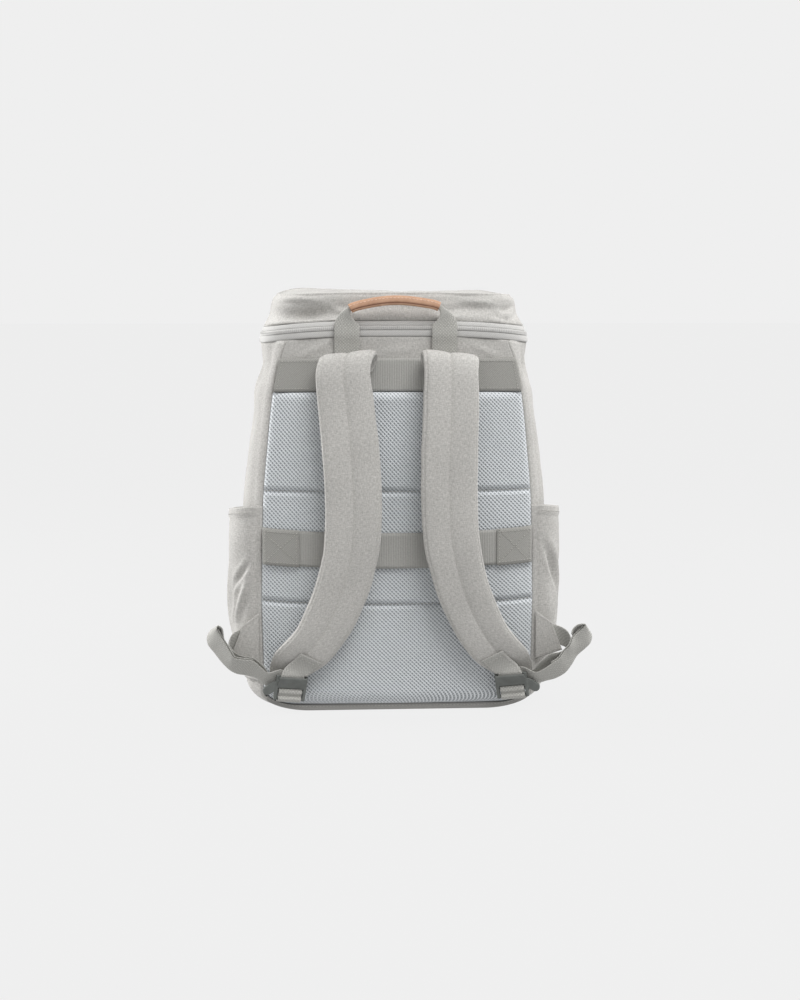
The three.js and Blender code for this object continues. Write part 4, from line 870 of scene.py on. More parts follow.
# Yoke: a strip of the same canvas above the pad, sewn to the zip along its top and lying flat
# behind the ends of the straps and the handle.
YOKE = {"outer": -86.4, "bottom": 317.9, "top": 371.7, "rows": 30, "columns": 150}
YOKE_CREASES = (
    ((-100, 352), (-64, 368), 4, 0.8), ((70, 366), (104, 352), 4, 0.8), ((-20, 356), (22, 361), 5, 0.7),
)
yoke_z = np.linspace(YOKE["bottom"], YOKE["top"], YOKE["rows"])
yoke_x = np.linspace(-1, 1, YOKE["columns"])[None] * (seam_at(yoke_z) - PAD["inset"])[:, None]
yoke_rise = yoke_z[:, None] - droop_at(yoke_x) * smoothstep(yoke_z, DROOP["start"], DROOP["end"])[:, None]
yoke_points = np.stack([yoke_x, np.full_like(yoke_x, YOKE["outer"]), yoke_rise], axis=-1)
yoke_flat = np.stack(np.broadcast_arrays(yoke_x, yoke_z[:, None]), axis=-1)
yoke_points[..., 1] -= np.maximum(crease_push(*np.moveaxis(yoke_flat, -1, 0), YOKE_CREASES), 0)
yoke_panel = cloth_grid("yoke_cloth", yoke_points, yoke_flat)
give_thickness(yoke_panel, CLOTH)
dress(yoke_panel, cotton, "cotton", "yoke_panel")

# Upper band and trolley band: ribbed elastic across the back with twill patches over its ends, sewn
# into the side seams. The upper one covers the joint of pad and yoke, and the lower one holds the
# bag on a suitcase handle.
UPPER_BAND = {"outer": -88.6, "thick": 1.8, "bottom": 318, "top": 350.6}
UPPER_PATCH = {"outer": -90.2, "thick": 1.2, "inner": 58}
TROLLEY_BAND = {"z": 166.5, "height": 35, "thick": 1.8, "lift": 0.5}
TROLLEY_PATCH = {"height": 36.5, "thick": 1.4, "lift": 2.7, "inner": 0.73}
BAND_ROWS = 12
PATCH_COLUMNS = {"upper": 40, "trolley": 30}
# Stitches of a patch: rows and columns from its edges, lift off its face, and points of each diagonal
PATCH_STITCHES = {"row": 1, "column": 2, "lift": 0.35, "points": 30}
RIBS = {"pitch": 1.7, "rise": 0.2, "columns": 640}
ELASTIC_SHADES = ("#9a9995", "#b6b5b1")


def elastic_ribs():
    """A tree that raises upright ribs on a band, a pitch apart."""
    tree, given = new_tree("elastic_ribs", {
        "Geometry": "Geometry", "Pitch": "Float", "Rise": "Float", "Elastic": "Material"})
    place = add_node(tree, "GeometryNodeInputPosition")
    across = add_node(tree, "ShaderNodeSeparateXYZ", {}, {"Vector": place.outputs["Position"]})
    count = add_node(tree, "ShaderNodeMath", {"operation": "DIVIDE"},
                     {0: across.outputs["X"], 1: given["Pitch"]})
    angle = add_node(tree, "ShaderNodeMath", {"operation": "MULTIPLY", 1: math.pi}, {0: count.outputs[0]})
    wave = add_node(tree, "ShaderNodeMath", {"operation": "SINE"}, {0: angle.outputs[0]})
    hump = add_node(tree, "ShaderNodeMath", {"operation": "ABSOLUTE"}, {0: wave.outputs[0]})
    rise = add_node(tree, "ShaderNodeMath", {"operation": "MULTIPLY"}, {0: hump.outputs[0], 1: given["Rise"]})
    outward = add_node(tree, "GeometryNodeInputNormal")
    offset = add_node(tree, "ShaderNodeVectorMath", {"operation": "SCALE"},
                      {0: outward.outputs["Normal"], "Scale": rise.outputs[0]})
    face = add_node(tree, "GeometryNodeSetPosition", {},
                    {"Geometry": given["Geometry"], "Offset": offset.outputs["Vector"]})
    end_tree(tree, face.outputs["Geometry"], given["Elastic"])
    return tree


def band_points(shares, band):
    """Points of the outer face of the trolley band, or of a patch on it, over the crown of the pad."""
    share, rise = np.meshgrid(shares, np.linspace(-0.5, 0.5, BAND_ROWS) * band["height"])
    middle = np.full_like(share, TROLLEY_BAND["z"])
    x = share * pad_half(TROLLEY_BAND["z"])
    y = pad_face(x, middle, ()) - band["lift"] - band["thick"]
    return np.stack([x, y, TROLLEY_BAND["z"] + rise - sag_at(middle, share)], axis=-1)


def upper_points(left, right, columns, outer):
    """Points of the upper band between two places across, which may follow the side seams."""
    z = np.linspace(UPPER_BAND["bottom"], UPPER_BAND["top"], BAND_ROWS)
    half = seam_at(z) - PAD["inset"]
    x = np.linspace(left(half), right(half), columns, axis=1)
    return np.stack(np.broadcast_arrays(x, outer, z[:, None]), axis=-1)


def flat_cut(points):
    """The flat cut of a piece that lies across the back."""
    return points[..., [0, 2]]


elastic = ribbed_weave("ribbed_elastic", *ELASTIC_SHADES, pitch=RIBS["pitch"], tilts=(0,), strength=0.5)
rib_tree = elastic_ribs()
upper_grid = upper_points(lambda half: -half, lambda half: half, RIBS["columns"],
                          UPPER_BAND["outer"] + RIBS["rise"])
trolley_grid = band_points(np.linspace(-1, 1, RIBS["columns"]), TROLLEY_BAND)
for name, grid, table in (("upper_band", upper_grid, UPPER_BAND),
                          ("trolley_band", trolley_grid, TROLLEY_BAND)):
    band = cloth_grid(name + "_elastic", grid, flat_cut(grid))
    run_tree(band, rib_tree, {"Pitch": RIBS["pitch"] * MM, "Rise": RIBS["rise"] * MM, "Elastic": elastic})
    give_thickness(band, table["thick"])
    band.data.shade_smooth()
    fit(band, "elastic", name)

upper_patch = upper_points(lambda half: -half, lambda half: np.full_like(half, -UPPER_PATCH["inner"]),
                           PATCH_COLUMNS["upper"], UPPER_PATCH["outer"])
trolley_shares = np.linspace(-1, -TROLLEY_PATCH["inner"], PATCH_COLUMNS["trolley"])
trolley_patch = band_points(trolley_shares, TROLLEY_PATCH)
edge_row = PATCH_STITCHES["row"]
edge_column = PATCH_STITCHES["column"]
seam_rows = slice(edge_row, -edge_row)
seam_columns = slice(edge_column, -edge_column)
band_runs = []
for side in ("left", "right"):
    for name, left_grid, table in (("upper_patch", upper_patch, UPPER_PATCH),
                                   ("trolley_patch", trolley_patch, TROLLEY_PATCH)):
        grid = left_grid if side == "left" else (left_grid * (-1, 1, 1))[:, ::-1]
        patch = cloth_grid(f"{name}_{side}_twill", grid, flat_cut(grid))
        give_thickness(patch, table["thick"])
        dress(patch, twill, "twill", f"{name}_{side}")
        raised = grid - (0, PATCH_STITCHES["lift"], 0)
        band_runs += [raised[edge_row, seam_columns], raised[-1 - edge_row, seam_columns],
                      raised[seam_rows, edge_column], raised[seam_rows, -1 - edge_column]]
        if name == "upper_patch":
            continue
        # Two diagonals cross the lower patches
        points = PATCH_STITCHES["points"]
        rows, columns = grid.shape[:2]
        row = np.linspace(edge_row, rows - 1 - edge_row, points).round().astype(int)
        column = np.linspace(edge_column, columns - 1 - edge_column, points).round().astype(int)
        low, high = raised[edge_row, edge_column, 2], raised[-1 - edge_row, -1 - edge_column, 2]
        heights = np.linspace(low, high, points)
        band_runs.append(np.column_stack([raised[row, column, :2], heights]))
        band_runs.append(np.column_stack([raised[row[::-1], column, :2], heights[::-1]]))
sew("band_stitches", band_runs, thread, "twill", pitch=3.0, length=2.2, thickness=0.6)

# Zip: two woven tapes with a nylon coil between them, sewn right round the bag under the lid, with
# a metal slider and pull at the front. The tapes are doubled over, so they stand out in soft rolls.
# Each table runs from the foot of its ring to the top; roll is how far its middle stands out
LOWER_TAPE = {"z": (371.9, 379), "seam": (110.5, 110), "side": (134.2, 132.8), "back": (-86.6, -87.2),
              "front": (81, 80.6), "droop": (1, 1), "rise": (0, 0), "roll": 0.8}
COIL = {"z": (378.7, 382.6), "seam": (110, 109.5), "side": (133.6, 132.4), "back": (-88.2, -88),
        "front": (81.6, 81.3), "droop": (1, 1), "rise": (0, 0), "roll": 0.3}
UPPER_TAPE = {"z": (382.3, 387.2), "seam": (109, 108), "side": (131.4, 130), "back": (-86.8, -85.2),
              "front": (80, 78.4), "droop": (1, 1), "rise": (0, 0), "roll": 0.8}
ZIP_THICK = 1.6
ZIP_ROWS = 9
RING_COLUMNS = 320
# Where a ring bends from the back towards the side
RING_CORNER = {"middle": 0.5, "share": 0.96, "from_back": 1.2}
# Seam, side, back and front of the ring on which the way round is measured, and in how many points
RING_GIRTH = {"outline": (108, 130, -85, 78.5), "points": 3000}
LID_CREST = {"x": [-126, -98, -60, 0, 42, 75, 96, 126], "rise": [0, 6.5, 4, -0.5, -2.5, 1, 4.5, 0]}
TAPE_SHADES = ("#b7b6b4", "#cccbc8")
COIL_SHADES = ("#b6b5b3", "#d0cfcc")
TEETH = {"pitch": 1.9, "length": 1.15, "thickness": 0.9, "height": 2.6}
SLIDER_SHADES = ("#8b8d8e", "#b9bbbc")
CAST_WELD = 0.002
GRAIN_SIZES = {"wear": 9, "relief": 0.12}


def ring_outline(seam, side, back, front, places):
    """Plan of a ring right round the bag, from the middle of the back."""
    right = plan_half(seam, side, back, front)
    right[0] = right[0] * (RING_CORNER["share"], 1) + (0, RING_CORNER["from_back"])
    half = np.vstack([[(seam * RING_CORNER["middle"], back)], right])
    return spline(np.vstack([[(0, back)], half, [(0, front)], half[::-1] * (-1, 1)]), places, closed=True)


def ring_grid(table, rows, places):
    """Points of a ring wall round the bag, in rows through its table."""
    columns = [table[key] for key in ("z", "seam", "side", "back", "front", "droop", "rise")]
    grid = np.empty((rows, len(places), 3))
    sections = spline(np.array(columns, float).T, np.linspace(0, 1, rows), even=True)
    for row, (z, seam, side, back, front, droop, rise) in enumerate(sections):
        plan = ring_outline(seam, side, back, front, places)
        forward = np.clip((plan[:, 1] - back) / (front - back), 0, 1)
        crest = along_table(LID_CREST, "rise", plan[:, 0], key="x")
        grid[row, :, :2] = plan
        grid[row, :, 2] = z - droop * droop_at(plan[:, 0]) + rise * crest * forward
    return grid


def ring_cut(grid):
    """The flat cut of a ring wall: distance round it, and height."""
    around = lengths(np.concatenate([grid[0], grid[0, :1]]))
    up = lengths(grid[:, 0])
    return np.stack(np.broadcast_arrays(around[None], up[:, None]), axis=-1)


def moulded_copy(name, node, voxel, smoothing):
    """A copy of a solid with its edges softened, as moulding or casting leaves them."""
    shell = bmesh.new()
    shell.from_mesh(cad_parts[node].data)
    bmesh.ops.remove_doubles(shell, verts=shell.verts, dist=CAST_WELD * MM)
    piece = new_piece(name)
    shell.to_mesh(piece.data)
    shell.free()
    remesh = piece.modifiers.new("cast", "REMESH")
    remesh.mode = "VOXEL"
    remesh.voxel_size = voxel * MM
    soften = piece.modifiers.new("soften", "SMOOTH")
    soften.factor = 0.5
    soften.iterations = smoothing
    made = bpy.data.meshes.new_from_object(piece.evaluated_get(bpy.context.evaluated_depsgraph_get()))
    piece.modifiers.clear()
    piece.data = made
    piece.data.materials.clear()
    piece.data.shade_smooth()
    return piece


def grained_finish(name, dark, light, grain, roughness, metallic=0.0):
    """Hard parts with a fine even grain: acetal moulded in a spark-eroded tool, or tumbled zinc. The
    grain breaks up the shine, and it is drawn at half a millimetre or more, coarser than real."""
    material, tree = new_material(name, {"Metallic": metallic})
    place = add_node(tree, "ShaderNodeTexCoord")
    grit = add_noise(tree, place.outputs["Object"], grain, detail=3.0)
    wear = add_noise(tree, place.outputs["Object"], GRAIN_SIZES["wear"], detail=2.0)
    shade = mix_shades(tree, dark, light, wear)
    dull = add_node(tree, "ShaderNodeMapRange", {"To Min": roughness - 0.1, "To Max": roughness + 0.1},
                    {"Value": grit})
    bumpy = add_relief(tree, 0.25, GRAIN_SIZES["relief"], grit)
    to_surface(tree, {"Base Color": shade, "Roughness": dull.outputs["Result"], "Normal": bumpy})
    return material


zip_tape = ribbed_weave("woven_zip_tape", *TAPE_SHADES, pitch=1.6, tilts=(45,), strength=0.4)
nylon_coil = ribbed_weave("nylon_zip_coil", *COIL_SHADES, pitch=TEETH["pitch"], tilts=(0,), strength=0.6)
fine_ring = np.linspace(0, 1, RING_GIRTH["points"])
ring_length = lengths(ring_outline(*RING_GIRTH["outline"], fine_ring))
ring_places = np.interp(np.linspace(0, ring_length[-1], RING_COLUMNS, endpoint=False), ring_length, fine_ring)
across_tape = np.linspace(-1, 1, ZIP_ROWS)
tape_roll = np.sqrt(1 - across_tape ** 2)
zip_parts = (("zip_tape_lower", LOWER_TAPE, zip_tape), ("zip_coil", COIL, nylon_coil),
             ("zip_tape_upper", UPPER_TAPE, zip_tape))
for name, table, material in zip_parts:
    grid = ring_grid(table, ZIP_ROWS, ring_places)
    grid = grid + grid_normals(grid, closed=True) * (table["roll"] * tape_roll)[:, None, None]
    strip = cloth_grid(name + "_strip", grid, ring_cut(grid), closed=True)
    give_thickness(strip, ZIP_THICK)
    dress(strip, material, "zip_cloth", name)
    if name == "zip_coil":
        tooth_line = grid[ZIP_ROWS // 2]
        tooth_run = np.concatenate([tooth_line, tooth_line[:1]])
        sew("zip_teeth", [tooth_run], nylon_coil, "zip_cloth", **TEETH)
slider_metal = grained_finish("tumbled_zinc", *SLIDER_SHADES, grain=0.6, roughness=0.42, metallic=0.9)
zip_slider = moulded_copy("zip_slider_cast", "zip_slider", voxel=0.35, smoothing=4)
dress(zip_slider, slider_metal, "metal", "zip_slider")

# Lid: a cap of the same canvas, a wall that is sewn to the upper zip tape and a top panel set in with
# a turned seam. It isn't stiffened, so the wall caves in between its corners.
LID_WALL = {"z": (387.4, 391, 398, 405.5, 411, 414.4), "seam": (108, 108, 106, 104, 102, 97),
            "side": (129.8, 128, 123.4, 122, 120, 114.5), "back": (-85, -85, -82.5, -80.5, -79, -75.5),
            "front": (78.2, 78.6, 78, 77, 75, 70), "droop": (1, 0.95, 0.75, 0.55, 0.5, 0.5),
            "rise": (0, 0.1, 0.3, 0.6, 0.9, 1)}
LID_ROWS = 44
# Dents and rolls of the back wall: place, height, reach each way and depth. A negative one stands out
LID_DENTS = (
    (-86, 396, 28, 6.5, 10.5), (-92, 389.4, 42, 3, -2), (-20, 402, 40, 8, 2), (70, 402, 26, 8, 2.5),
    (112, 400, 14, 5, 3),
)
# Creases: place and height of both ends, half-width and height
LID_CREASES = (
    ((-126, 395), (-64, 395), 4, -1.2), ((-116, 411), (-70, 408), 2.6, 1.6),
    ((-66, 400), (-34, 393), 2.6, 1.6), ((30, 397), (92, 400), 3.2, -1.4),
    ((58, 408), (104, 405), 2.8, 1.6), ((100, 391), (124, 403), 2.4, 2.2),
    ((92, 396), (112, 391), 2.4, -1.6), ((-16, 410), (30, 406), 4, 0.9),
)
# Distances behind the middle where those dents begin, and where they are at full depth
LID_BACK = (42, 68)
LID_RUMPLE = {"size": 26, "depth": 1.5, "seed": 21.0}
# The wall lies still along its edges, up to these shares of its height
LID_STILL = {"foot": (0, 0.1), "top": (0, 0.12)}
# The seam allowance makes a ridge along the top edge: push, share of the height, and reach
LID_RIDGE = {"push": 1.4, "share": 0.955, "reach": 0.035}
LID_STITCHES = {"row": 3, "lift": 0.25}
# The top panel: how far it is set in and down, how far it swells, its rings and how they crowd at the rim
LID_TOP = {"inset": 0.5, "sunk": 0.35, "lift": 1.6, "rings": 44, "crowding": 1.5}
TOP_RUMPLE = {"size": 34, "depth": 2.6, "seed": 33.0}

lid_points = ring_grid(LID_WALL, LID_ROWS, ring_places)
lid_share = np.linspace(0, 1, LID_ROWS)[:, None]
lid_height = spline(np.array(LID_WALL["z"], float)[:, None], lid_share[:, 0], even=True)
on_back = smoothstep(-lid_points[..., 1], *LID_BACK)
lid_push = on_back * crease_push(lid_points[..., 0], lid_height * np.ones(RING_COLUMNS), LID_CREASES)
for x, z, reach, tall, depth in LID_DENTS:
    lid_push -= on_back * depth * bell(lid_points[..., 0] - x, reach) * bell(lid_height - z, tall)
lid_push += rumple(lid_points, **LID_RUMPLE)
lid_push *= smoothstep(lid_share, *LID_STILL["foot"]) * smoothstep(1 - lid_share, *LID_STILL["top"])
lid_push += LID_RIDGE["push"] * bell(lid_share - LID_RIDGE["share"], LID_RIDGE["reach"])
lid_points = lid_points + grid_normals(lid_points, closed=True) * lid_push[..., None]
lid_wall = cloth_grid("lid_wall_cloth", lid_points, ring_cut(lid_points), closed=True)
give_thickness(lid_wall, CLOTH)
dress(lid_wall, cotton, "cotton", "lid_wall")
lid_out = grid_normals(lid_points, closed=True)
lid_run = (lid_points + LID_STITCHES["lift"] * lid_out)[LID_STITCHES["row"]]

rim_line = lid_points[-1]
rim_along = np.roll(rim_line, -1, axis=0) - np.roll(rim_line, 1, axis=0)
rim_out = np.stack([rim_along[:, 1], -rim_along[:, 0], np.zeros(RING_COLUMNS)], axis=1)
rim_out /= np.linalg.norm(rim_out, axis=1, keepdims=True)
top_shares = 1 - np.linspace(0, 1, LID_TOP["rings"]) ** LID_TOP["crowding"]
lid_top = disc("lid_top_cloth", rim_line - LID_TOP["inset"] * rim_out, top_shares,
               lambda share: LID_TOP["lift"] * (1 - share ** RIM_POWER) - LID_TOP["sunk"], TOP_RUMPLE)
give_thickness(lid_top, CLOTH)
dress(lid_top, cotton, "cotton", "lid_top")
sew("lid_stitches", [np.concatenate([lid_run, lid_run[:1]])], thread, "cotton")

# Side pockets: open bottle pockets of the canvas, sewn to the wall along the foot and both sides,
# with a hem at the top that is turned in and stitched. Their spare cloth falls in folds.
POCKET = {"z": [30, 46, 64, 88, 116, 146, 176, 205], "bulge": [0, 5.5, 9, 11.4, 12.2, 12.4, 12.4, 12]}
# The pocket's way along the wall, as shares of it, the power of its fullness, its clearance and rim's fall
POCKET_RUN = {"start": 0.004, "end": 0.29, "fullness": 0.55, "clear": 2.4, "drop": 16}
POCKET_COLUMNS = 110
POCKET_ROWS = 86
# Share of the way along, height, reach each way and depth
POCKET_HOLLOWS = ((0.24, 135, 0.1, 26, 3), (0.36, 100, 0.05, 30, 2.5), (0.62, 150, 0.08, 40, 2.5))
# Creases of each pocket: distance from the back seam and height of both ends, half-width and height
POCKET_CREASES = {
    "right": (
        ((2, 172), (30, 104), 3.2, -2.8), ((10, 176), (34, 120), 4, 1.6), ((38, 150), (48, 62), 6, -1.8),
        ((70, 140), (62, 60), 7, 1.6), ((96, 172), (104, 80), 8, -1.8), ((128, 150), (120, 70), 7, 1.5),
        ((150, 172), (138, 100), 6, -1.6),
    ),
    "left": (
        ((2, 152), (30, 118), 2.8, -2.6), ((4, 138), (22, 84), 2.8, 2.2), ((14, 132), (34, 80), 2.8, -2),
        ((40, 160), (52, 66), 6, 1.8), ((76, 140), (66, 56), 7, -1.6), ((100, 170), (112, 84), 8, 1.8),
        ((132, 150), (124, 72), 7, -1.5), ((152, 172), (142, 104), 6, 1.4),
    ),
}
# Creases die away towards the sides, by the pocket's fullness, and towards the foot and the hem, by height
POCKET_STILL = {"sides": (0.1, 0.7), "foot": (30, 60), "hem": (0, 26)}
POCKET_RUMPLE = {"size": 30, "depth": 1.2, "seed": 40.0}
# The hem has a step at its lower edge. Its stitches run above that edge and leave out columns at the ends
HEM = {"width": 9.0, "thick": 0.9, "step": 0.6}
HEM_STITCHES = {"above": 1.8, "lift": 0.2, "ends": 2}
# The back edge is wrapped over the seam: distances inwards and outwards from it, and along the flat cut
POCKET_TURN = ((3.3, 0.8, 0), (1.6, 1.7, 0), (-0.8, 1.5, 0))
POCKET_TURN_CUT = (-6.0, -4.4, -2.2)

pocket_along = np.linspace(0, 1, POCKET_COLUMNS)
pocket_z = np.linspace(POCKET["z"][0], POCKET["z"][-1], POCKET_ROWS)
pocket_places = POCKET_RUN["start"] + pocket_along * (POCKET_RUN["end"] - POCKET_RUN["start"])
pocket_base = body_grid(pocket_places, pocket_z)
# The rim falls towards the front, so each column of points is drawn down the wall
pocket_fall = POCKET_RUN["drop"] * smoothstep(pocket_along, 0, 1)
for column, fall in enumerate(pocket_fall):
    lowered = pocket_z - fall * (pocket_z - pocket_z[0]) / (pocket_z[-1] - pocket_z[0])
    pocket_base[:, column] = [[np.interp(z, pocket_z, pocket_base[:, column, axis]) for axis in range(3)]
                              for z in lowered]
pocket_out = grid_normals(pocket_base)
pocket_u = np.broadcast_to(lengths(pocket_base[POCKET_ROWS // 2]), pocket_base.shape[:2])
pocket_v = np.broadcast_to(pocket_z[:, None], pocket_base.shape[:2])
pocket_full = np.sin(math.pi * pocket_along) ** POCKET_RUN["fullness"]
pocket_bulge = along_table(POCKET, "bulge", pocket_z)[:, None] * pocket_full
for share, z, reach, tall, depth in POCKET_HOLLOWS:
    hollow = depth * bell(pocket_along - share, reach) * bell(pocket_z - z, tall)[:, None]
    pocket_bulge = pocket_bulge - hollow
pocket_edge_z = pocket_base[:, 0, 2]
pocket_seam = np.stack(np.broadcast_arrays(seam_at(pocket_edge_z), BACK_Y, pocket_edge_z), axis=1)
turned_u = np.repeat([POCKET_TURN_CUT], POCKET_ROWS, axis=0)
pocket_cut_u = np.concatenate([turned_u, pocket_u], axis=1)
pocket_cut = np.stack(np.broadcast_arrays(pocket_cut_u, pocket_z[:, None]), axis=-1)
pocket_loose = smoothstep(pocket_full, *POCKET_STILL["sides"]) * smoothstep(pocket_v, *POCKET_STILL["foot"])
pocket_loose = pocket_loose * smoothstep(POCKET["z"][-1] - pocket_v, *POCKET_STILL["hem"])
hem_line = POCKET["z"][-1] - HEM["width"]
hem_row = np.searchsorted(pocket_z, hem_line + HEM_STITCHES["above"])
hem_columns = slice(HEM_STITCHES["ends"], -HEM_STITCHES["ends"])
for side, mirror in (("right", 1), ("left", -1)):
    folds = crease_push(pocket_u, pocket_v, POCKET_CREASES[side])
    folds = folds + rumple(pocket_base * (mirror, 1, 1), **POCKET_RUMPLE)
    bulge = np.maximum(pocket_bulge + pocket_loose * folds, 0)
    bulge = bulge + HEM["thick"] * smoothstep(pocket_v, hem_line - HEM["step"], hem_line + HEM["step"])
    points = pocket_base + pocket_out * (POCKET_RUN["clear"] + bulge)[..., None]
    hem_run = (points + HEM_STITCHES["lift"] * pocket_out)[hem_row, hem_columns]
    points = np.concatenate([pocket_seam[:, None] - move for move in POCKET_TURN] + [points], axis=1)
    cut = pocket_cut
    if mirror == -1:
        points = points[:, ::-1] * (-1, 1, 1)
        cut = cut[:, ::-1]
        hem_run = hem_run * (-1, 1, 1)
    pocket = cloth_grid(f"side_pocket_{side}_cloth", points, cut)
    give_thickness(pocket, CLOTH)
    dress(pocket, cotton, "cotton", f"side_pocket_{side}")
    sew(f"pocket_stitches_{side}", [hem_run], thread, "cotton")

# Shoulder straps: two layers of the canvas over foam, quilted along the middle and bound at the edges.
# Each is sewn flat under the handle, folds over and hangs down, curving out to its buckle.
# Rows: middle of the left and of the right strap, y, z, width and thickness
STRAP = (
    (-46, 48, -92.5, 336, 40, 3), (-46, 48, -92.8, 343.6, 49, 3.4),
    (-47, 49, -96, 350.4, 54.5, 6), (-49, 50, -103, 353.4, 55, 8),
    (-52, 50.5, -110.5, 349.4, 54.5, 9.5), (-54.8, 50.4, -114.5, 338.6, 53, 11),
    (-52.6, 50.4, -117, 312, 54, 12), (-48.7, 48.9, -120, 272, 55.5, 12.5),
    (-46.3, 47.9, -122, 233, 55.5, 12.5), (-45.3, 48.4, -122.5, 204, 55.5, 12.5),
    (-45.8, 49.4, -122.5, 184, 55, 12.5), (-47.7, 51.9, -122, 164, 55, 12),
    (-51.7, 56.3, -121, 145, 54.5, 12), (-57.1, 62.2, -119.5, 125, 55, 12),
    (-64.9, 70, -117.5, 105, 55.5, 11.5), (-74.2, 79.8, -115.5, 86, 55.5, 11),
    (-85, 89.7, -113, 71, 55.5, 10), (-96.8, 101.4, -109, 57, 52, 8),
    (-107, 112.5, -102.6, 45, 41, 5.5), (-114, 120.5, -97.4, 36.5, 29, 3.6),
)
# The inner edge drops between these heights, towards the foot, and the outer edge a little at the fold
STRAP_TILT = {"start": 86, "end": 44, "drop": 0.26, "fold_drop": 0.11, "fold_reach": 16}
STRAP_STEPS = 240
STRAP_SIDES = 104
# Section of a strap as shares of its width and thickness, the outside first
PADDED = (
    (-0.5, 0), (-0.478, 0.3), (-0.4, 0.46), (-0.22, 0.5), (0, 0.43), (0.22, 0.5), (0.4, 0.46), (0.478, 0.3),
    (0.5, 0), (0.465, -0.34), (0.3, -0.48), (0, -0.5), (-0.3, -0.48), (-0.465, -0.34),
)
# Share of the thickness above which the section counts as the outside
OUTSIDE_FROM = 0.2
# The quilting has its full depth in foam this thick, and never under the least share of it
FOAM = {"thick": 12, "least": 0.2}
QUILTING = {"width": 1.9, "depth": 0.9, "notch": 0.5, "fold": 353.4, "fold_reach": 9}
STRAP_EDGE = {"share": 0.452, "width": 1.0, "depth": 0.7}
STRAP_RUMPLE = {"size": 30, "depth": 0.8}
# Stitched stations and lift off the cloth, along the middle and along the edges, at a share of the width
QUILT_STITCHES = {"stations": slice(14, -10), "lift": 0.15}
EDGE_STITCHES = {"stations": slice(8, -8), "lift": 0.1, "share": 0.43}

strap_section = spline(np.array(PADDED), np.linspace(0, 1, STRAP_SIDES, endpoint=False), closed=True)
on_outside = strap_section[:, 1] > OUTSIDE_FROM


def outside_column(share):
    """The column of the section's outside that is nearest to a share of the width."""
    return int(np.argmin(np.abs(strap_section[:, 0] - share) - on_outside))


for side, column, inward, seed in (("left", 0, 1, 50.0), ("right", 1, -1, 60.0)):
    rows = []
    for row in STRAP:
        _, _, y, z, width, thick = row
        tilt = STRAP_TILT["drop"] * (1 - smoothstep(z, STRAP_TILT["end"], STRAP_TILT["start"]))
        tilt -= STRAP_TILT["fold_drop"] * bell(z - QUILTING["fold"], STRAP_TILT["fold_reach"])
        rows.append((row[column], y, z, 1, 0, -inward * tilt, width, thick))
    stations = stations_along(rows, STRAP_STEPS)
    grid = swept_points(stations, strap_section)
    width, thick = stations[3].T[:, :, None]
    sideways = strap_section[None, :, 0] * width
    padding = np.clip(thick / FOAM["thick"], FOAM["least"], 1)
    at_fold = 1 + QUILTING["notch"] * bell(stations[0][:, 2:] - QUILTING["fold"], QUILTING["fold_reach"])
    sink = QUILTING["depth"] * padding * at_fold * bell(sideways, QUILTING["width"])
    from_edge = np.abs(sideways) - STRAP_EDGE["share"] * width
    sink = (sink + STRAP_EDGE["depth"] * padding * bell(from_edge, STRAP_EDGE["width"])) * on_outside
    swell = rumple(grid, seed=seed, **STRAP_RUMPLE) * padding
    middle = stations[0][:, None]
    outward = grid - middle
    outward /= np.linalg.norm(outward, axis=2, keepdims=True)
    grid = grid + outward * swell[..., None] - stations[2][:, None] * sink[..., None]
    strap = closed_sweep(f"shoulder_strap_{side}_padded", grid)
    dress(strap, cotton, "cotton", f"shoulder_strap_{side}")
    strap_runs = []
    for share, stitches in ((0, QUILT_STITCHES), (-EDGE_STITCHES["share"], EDGE_STITCHES),
                            (EDGE_STITCHES["share"], EDGE_STITCHES)):
        line = grid[:, outside_column(share)] + stitches["lift"] * stations[2]
        strap_runs.append(line[stitches["stations"]])
    sew(f"strap_stitches_{side}", strap_runs, thread, "cotton")

# Ladder buckles: moulded acetal with three bars, a thumb plate and an ear, one at the end of each strap.
# A tab of webbing sewn to the strap goes round the top bar.
BUCKLE_PLACE = {"x": -107.5, "y": -110.6, "z": 27.4, "yaw": 15, "roll": 7, "lean": 8}
RIGHT_SHIFT = 4.5
BUCKLE_SHADES = ("#535653", "#727572")
TAB = {"width": 24, "thick": 1.2, "steps": 66}
# Lift and place of the edge stitches as shares of thickness and width, and a row across at one station
TAB_STITCHES = {"lift": 0.62, "edge": 0.41, "stations": slice(2, 22), "cross_station": 3, "cross_points": 12}
# Rows on the strap: place and direction across; then y and z round the bar in the buckle's frame
TAB_ON_STRAP = ((-86.5, -115.5, 58, 0.88, 0.11, -0.44), (-95, -112.4, 49.5, 0.87, 0.1, -0.43),
                (-101.5, -112.6, 44, 0.88, 0.1, -0.4))
TAB_ROUND_BAR = ((-2.6, 13.5), (-2.6, 11), (-1.85, 9.15), (0, 8.4), (1.85, 9.15), (2.6, 11), (2.7, 13))
TAB_SHADES = ("#979692", "#bcbbb6")

buckle_turn = Euler([math.radians(BUCKLE_PLACE[key]) for key in ("lean", "roll", "yaw")], "XYZ").to_matrix()
buckle_turn = np.array(buckle_turn)
buckle_origin = np.array([BUCKLE_PLACE[key] for key in "xyz"])


def from_buckle(row, width, thick):
    """A row given in the buckle's frame, in the bag's."""
    place = buckle_turn @ np.array(row[:3]) + buckle_origin
    across = buckle_turn @ np.array(row[3:6])
    across = across / np.linalg.norm(across)
    return (*place, *across, width, thick)


def to_side(grid, side, shift):
    """Points of a left-hand piece, or mirrored to the right and moved by the shift."""
    return grid if side == "left" else grid[:, ::-1] * (-1, 1, 1) + (shift, 0, 0)


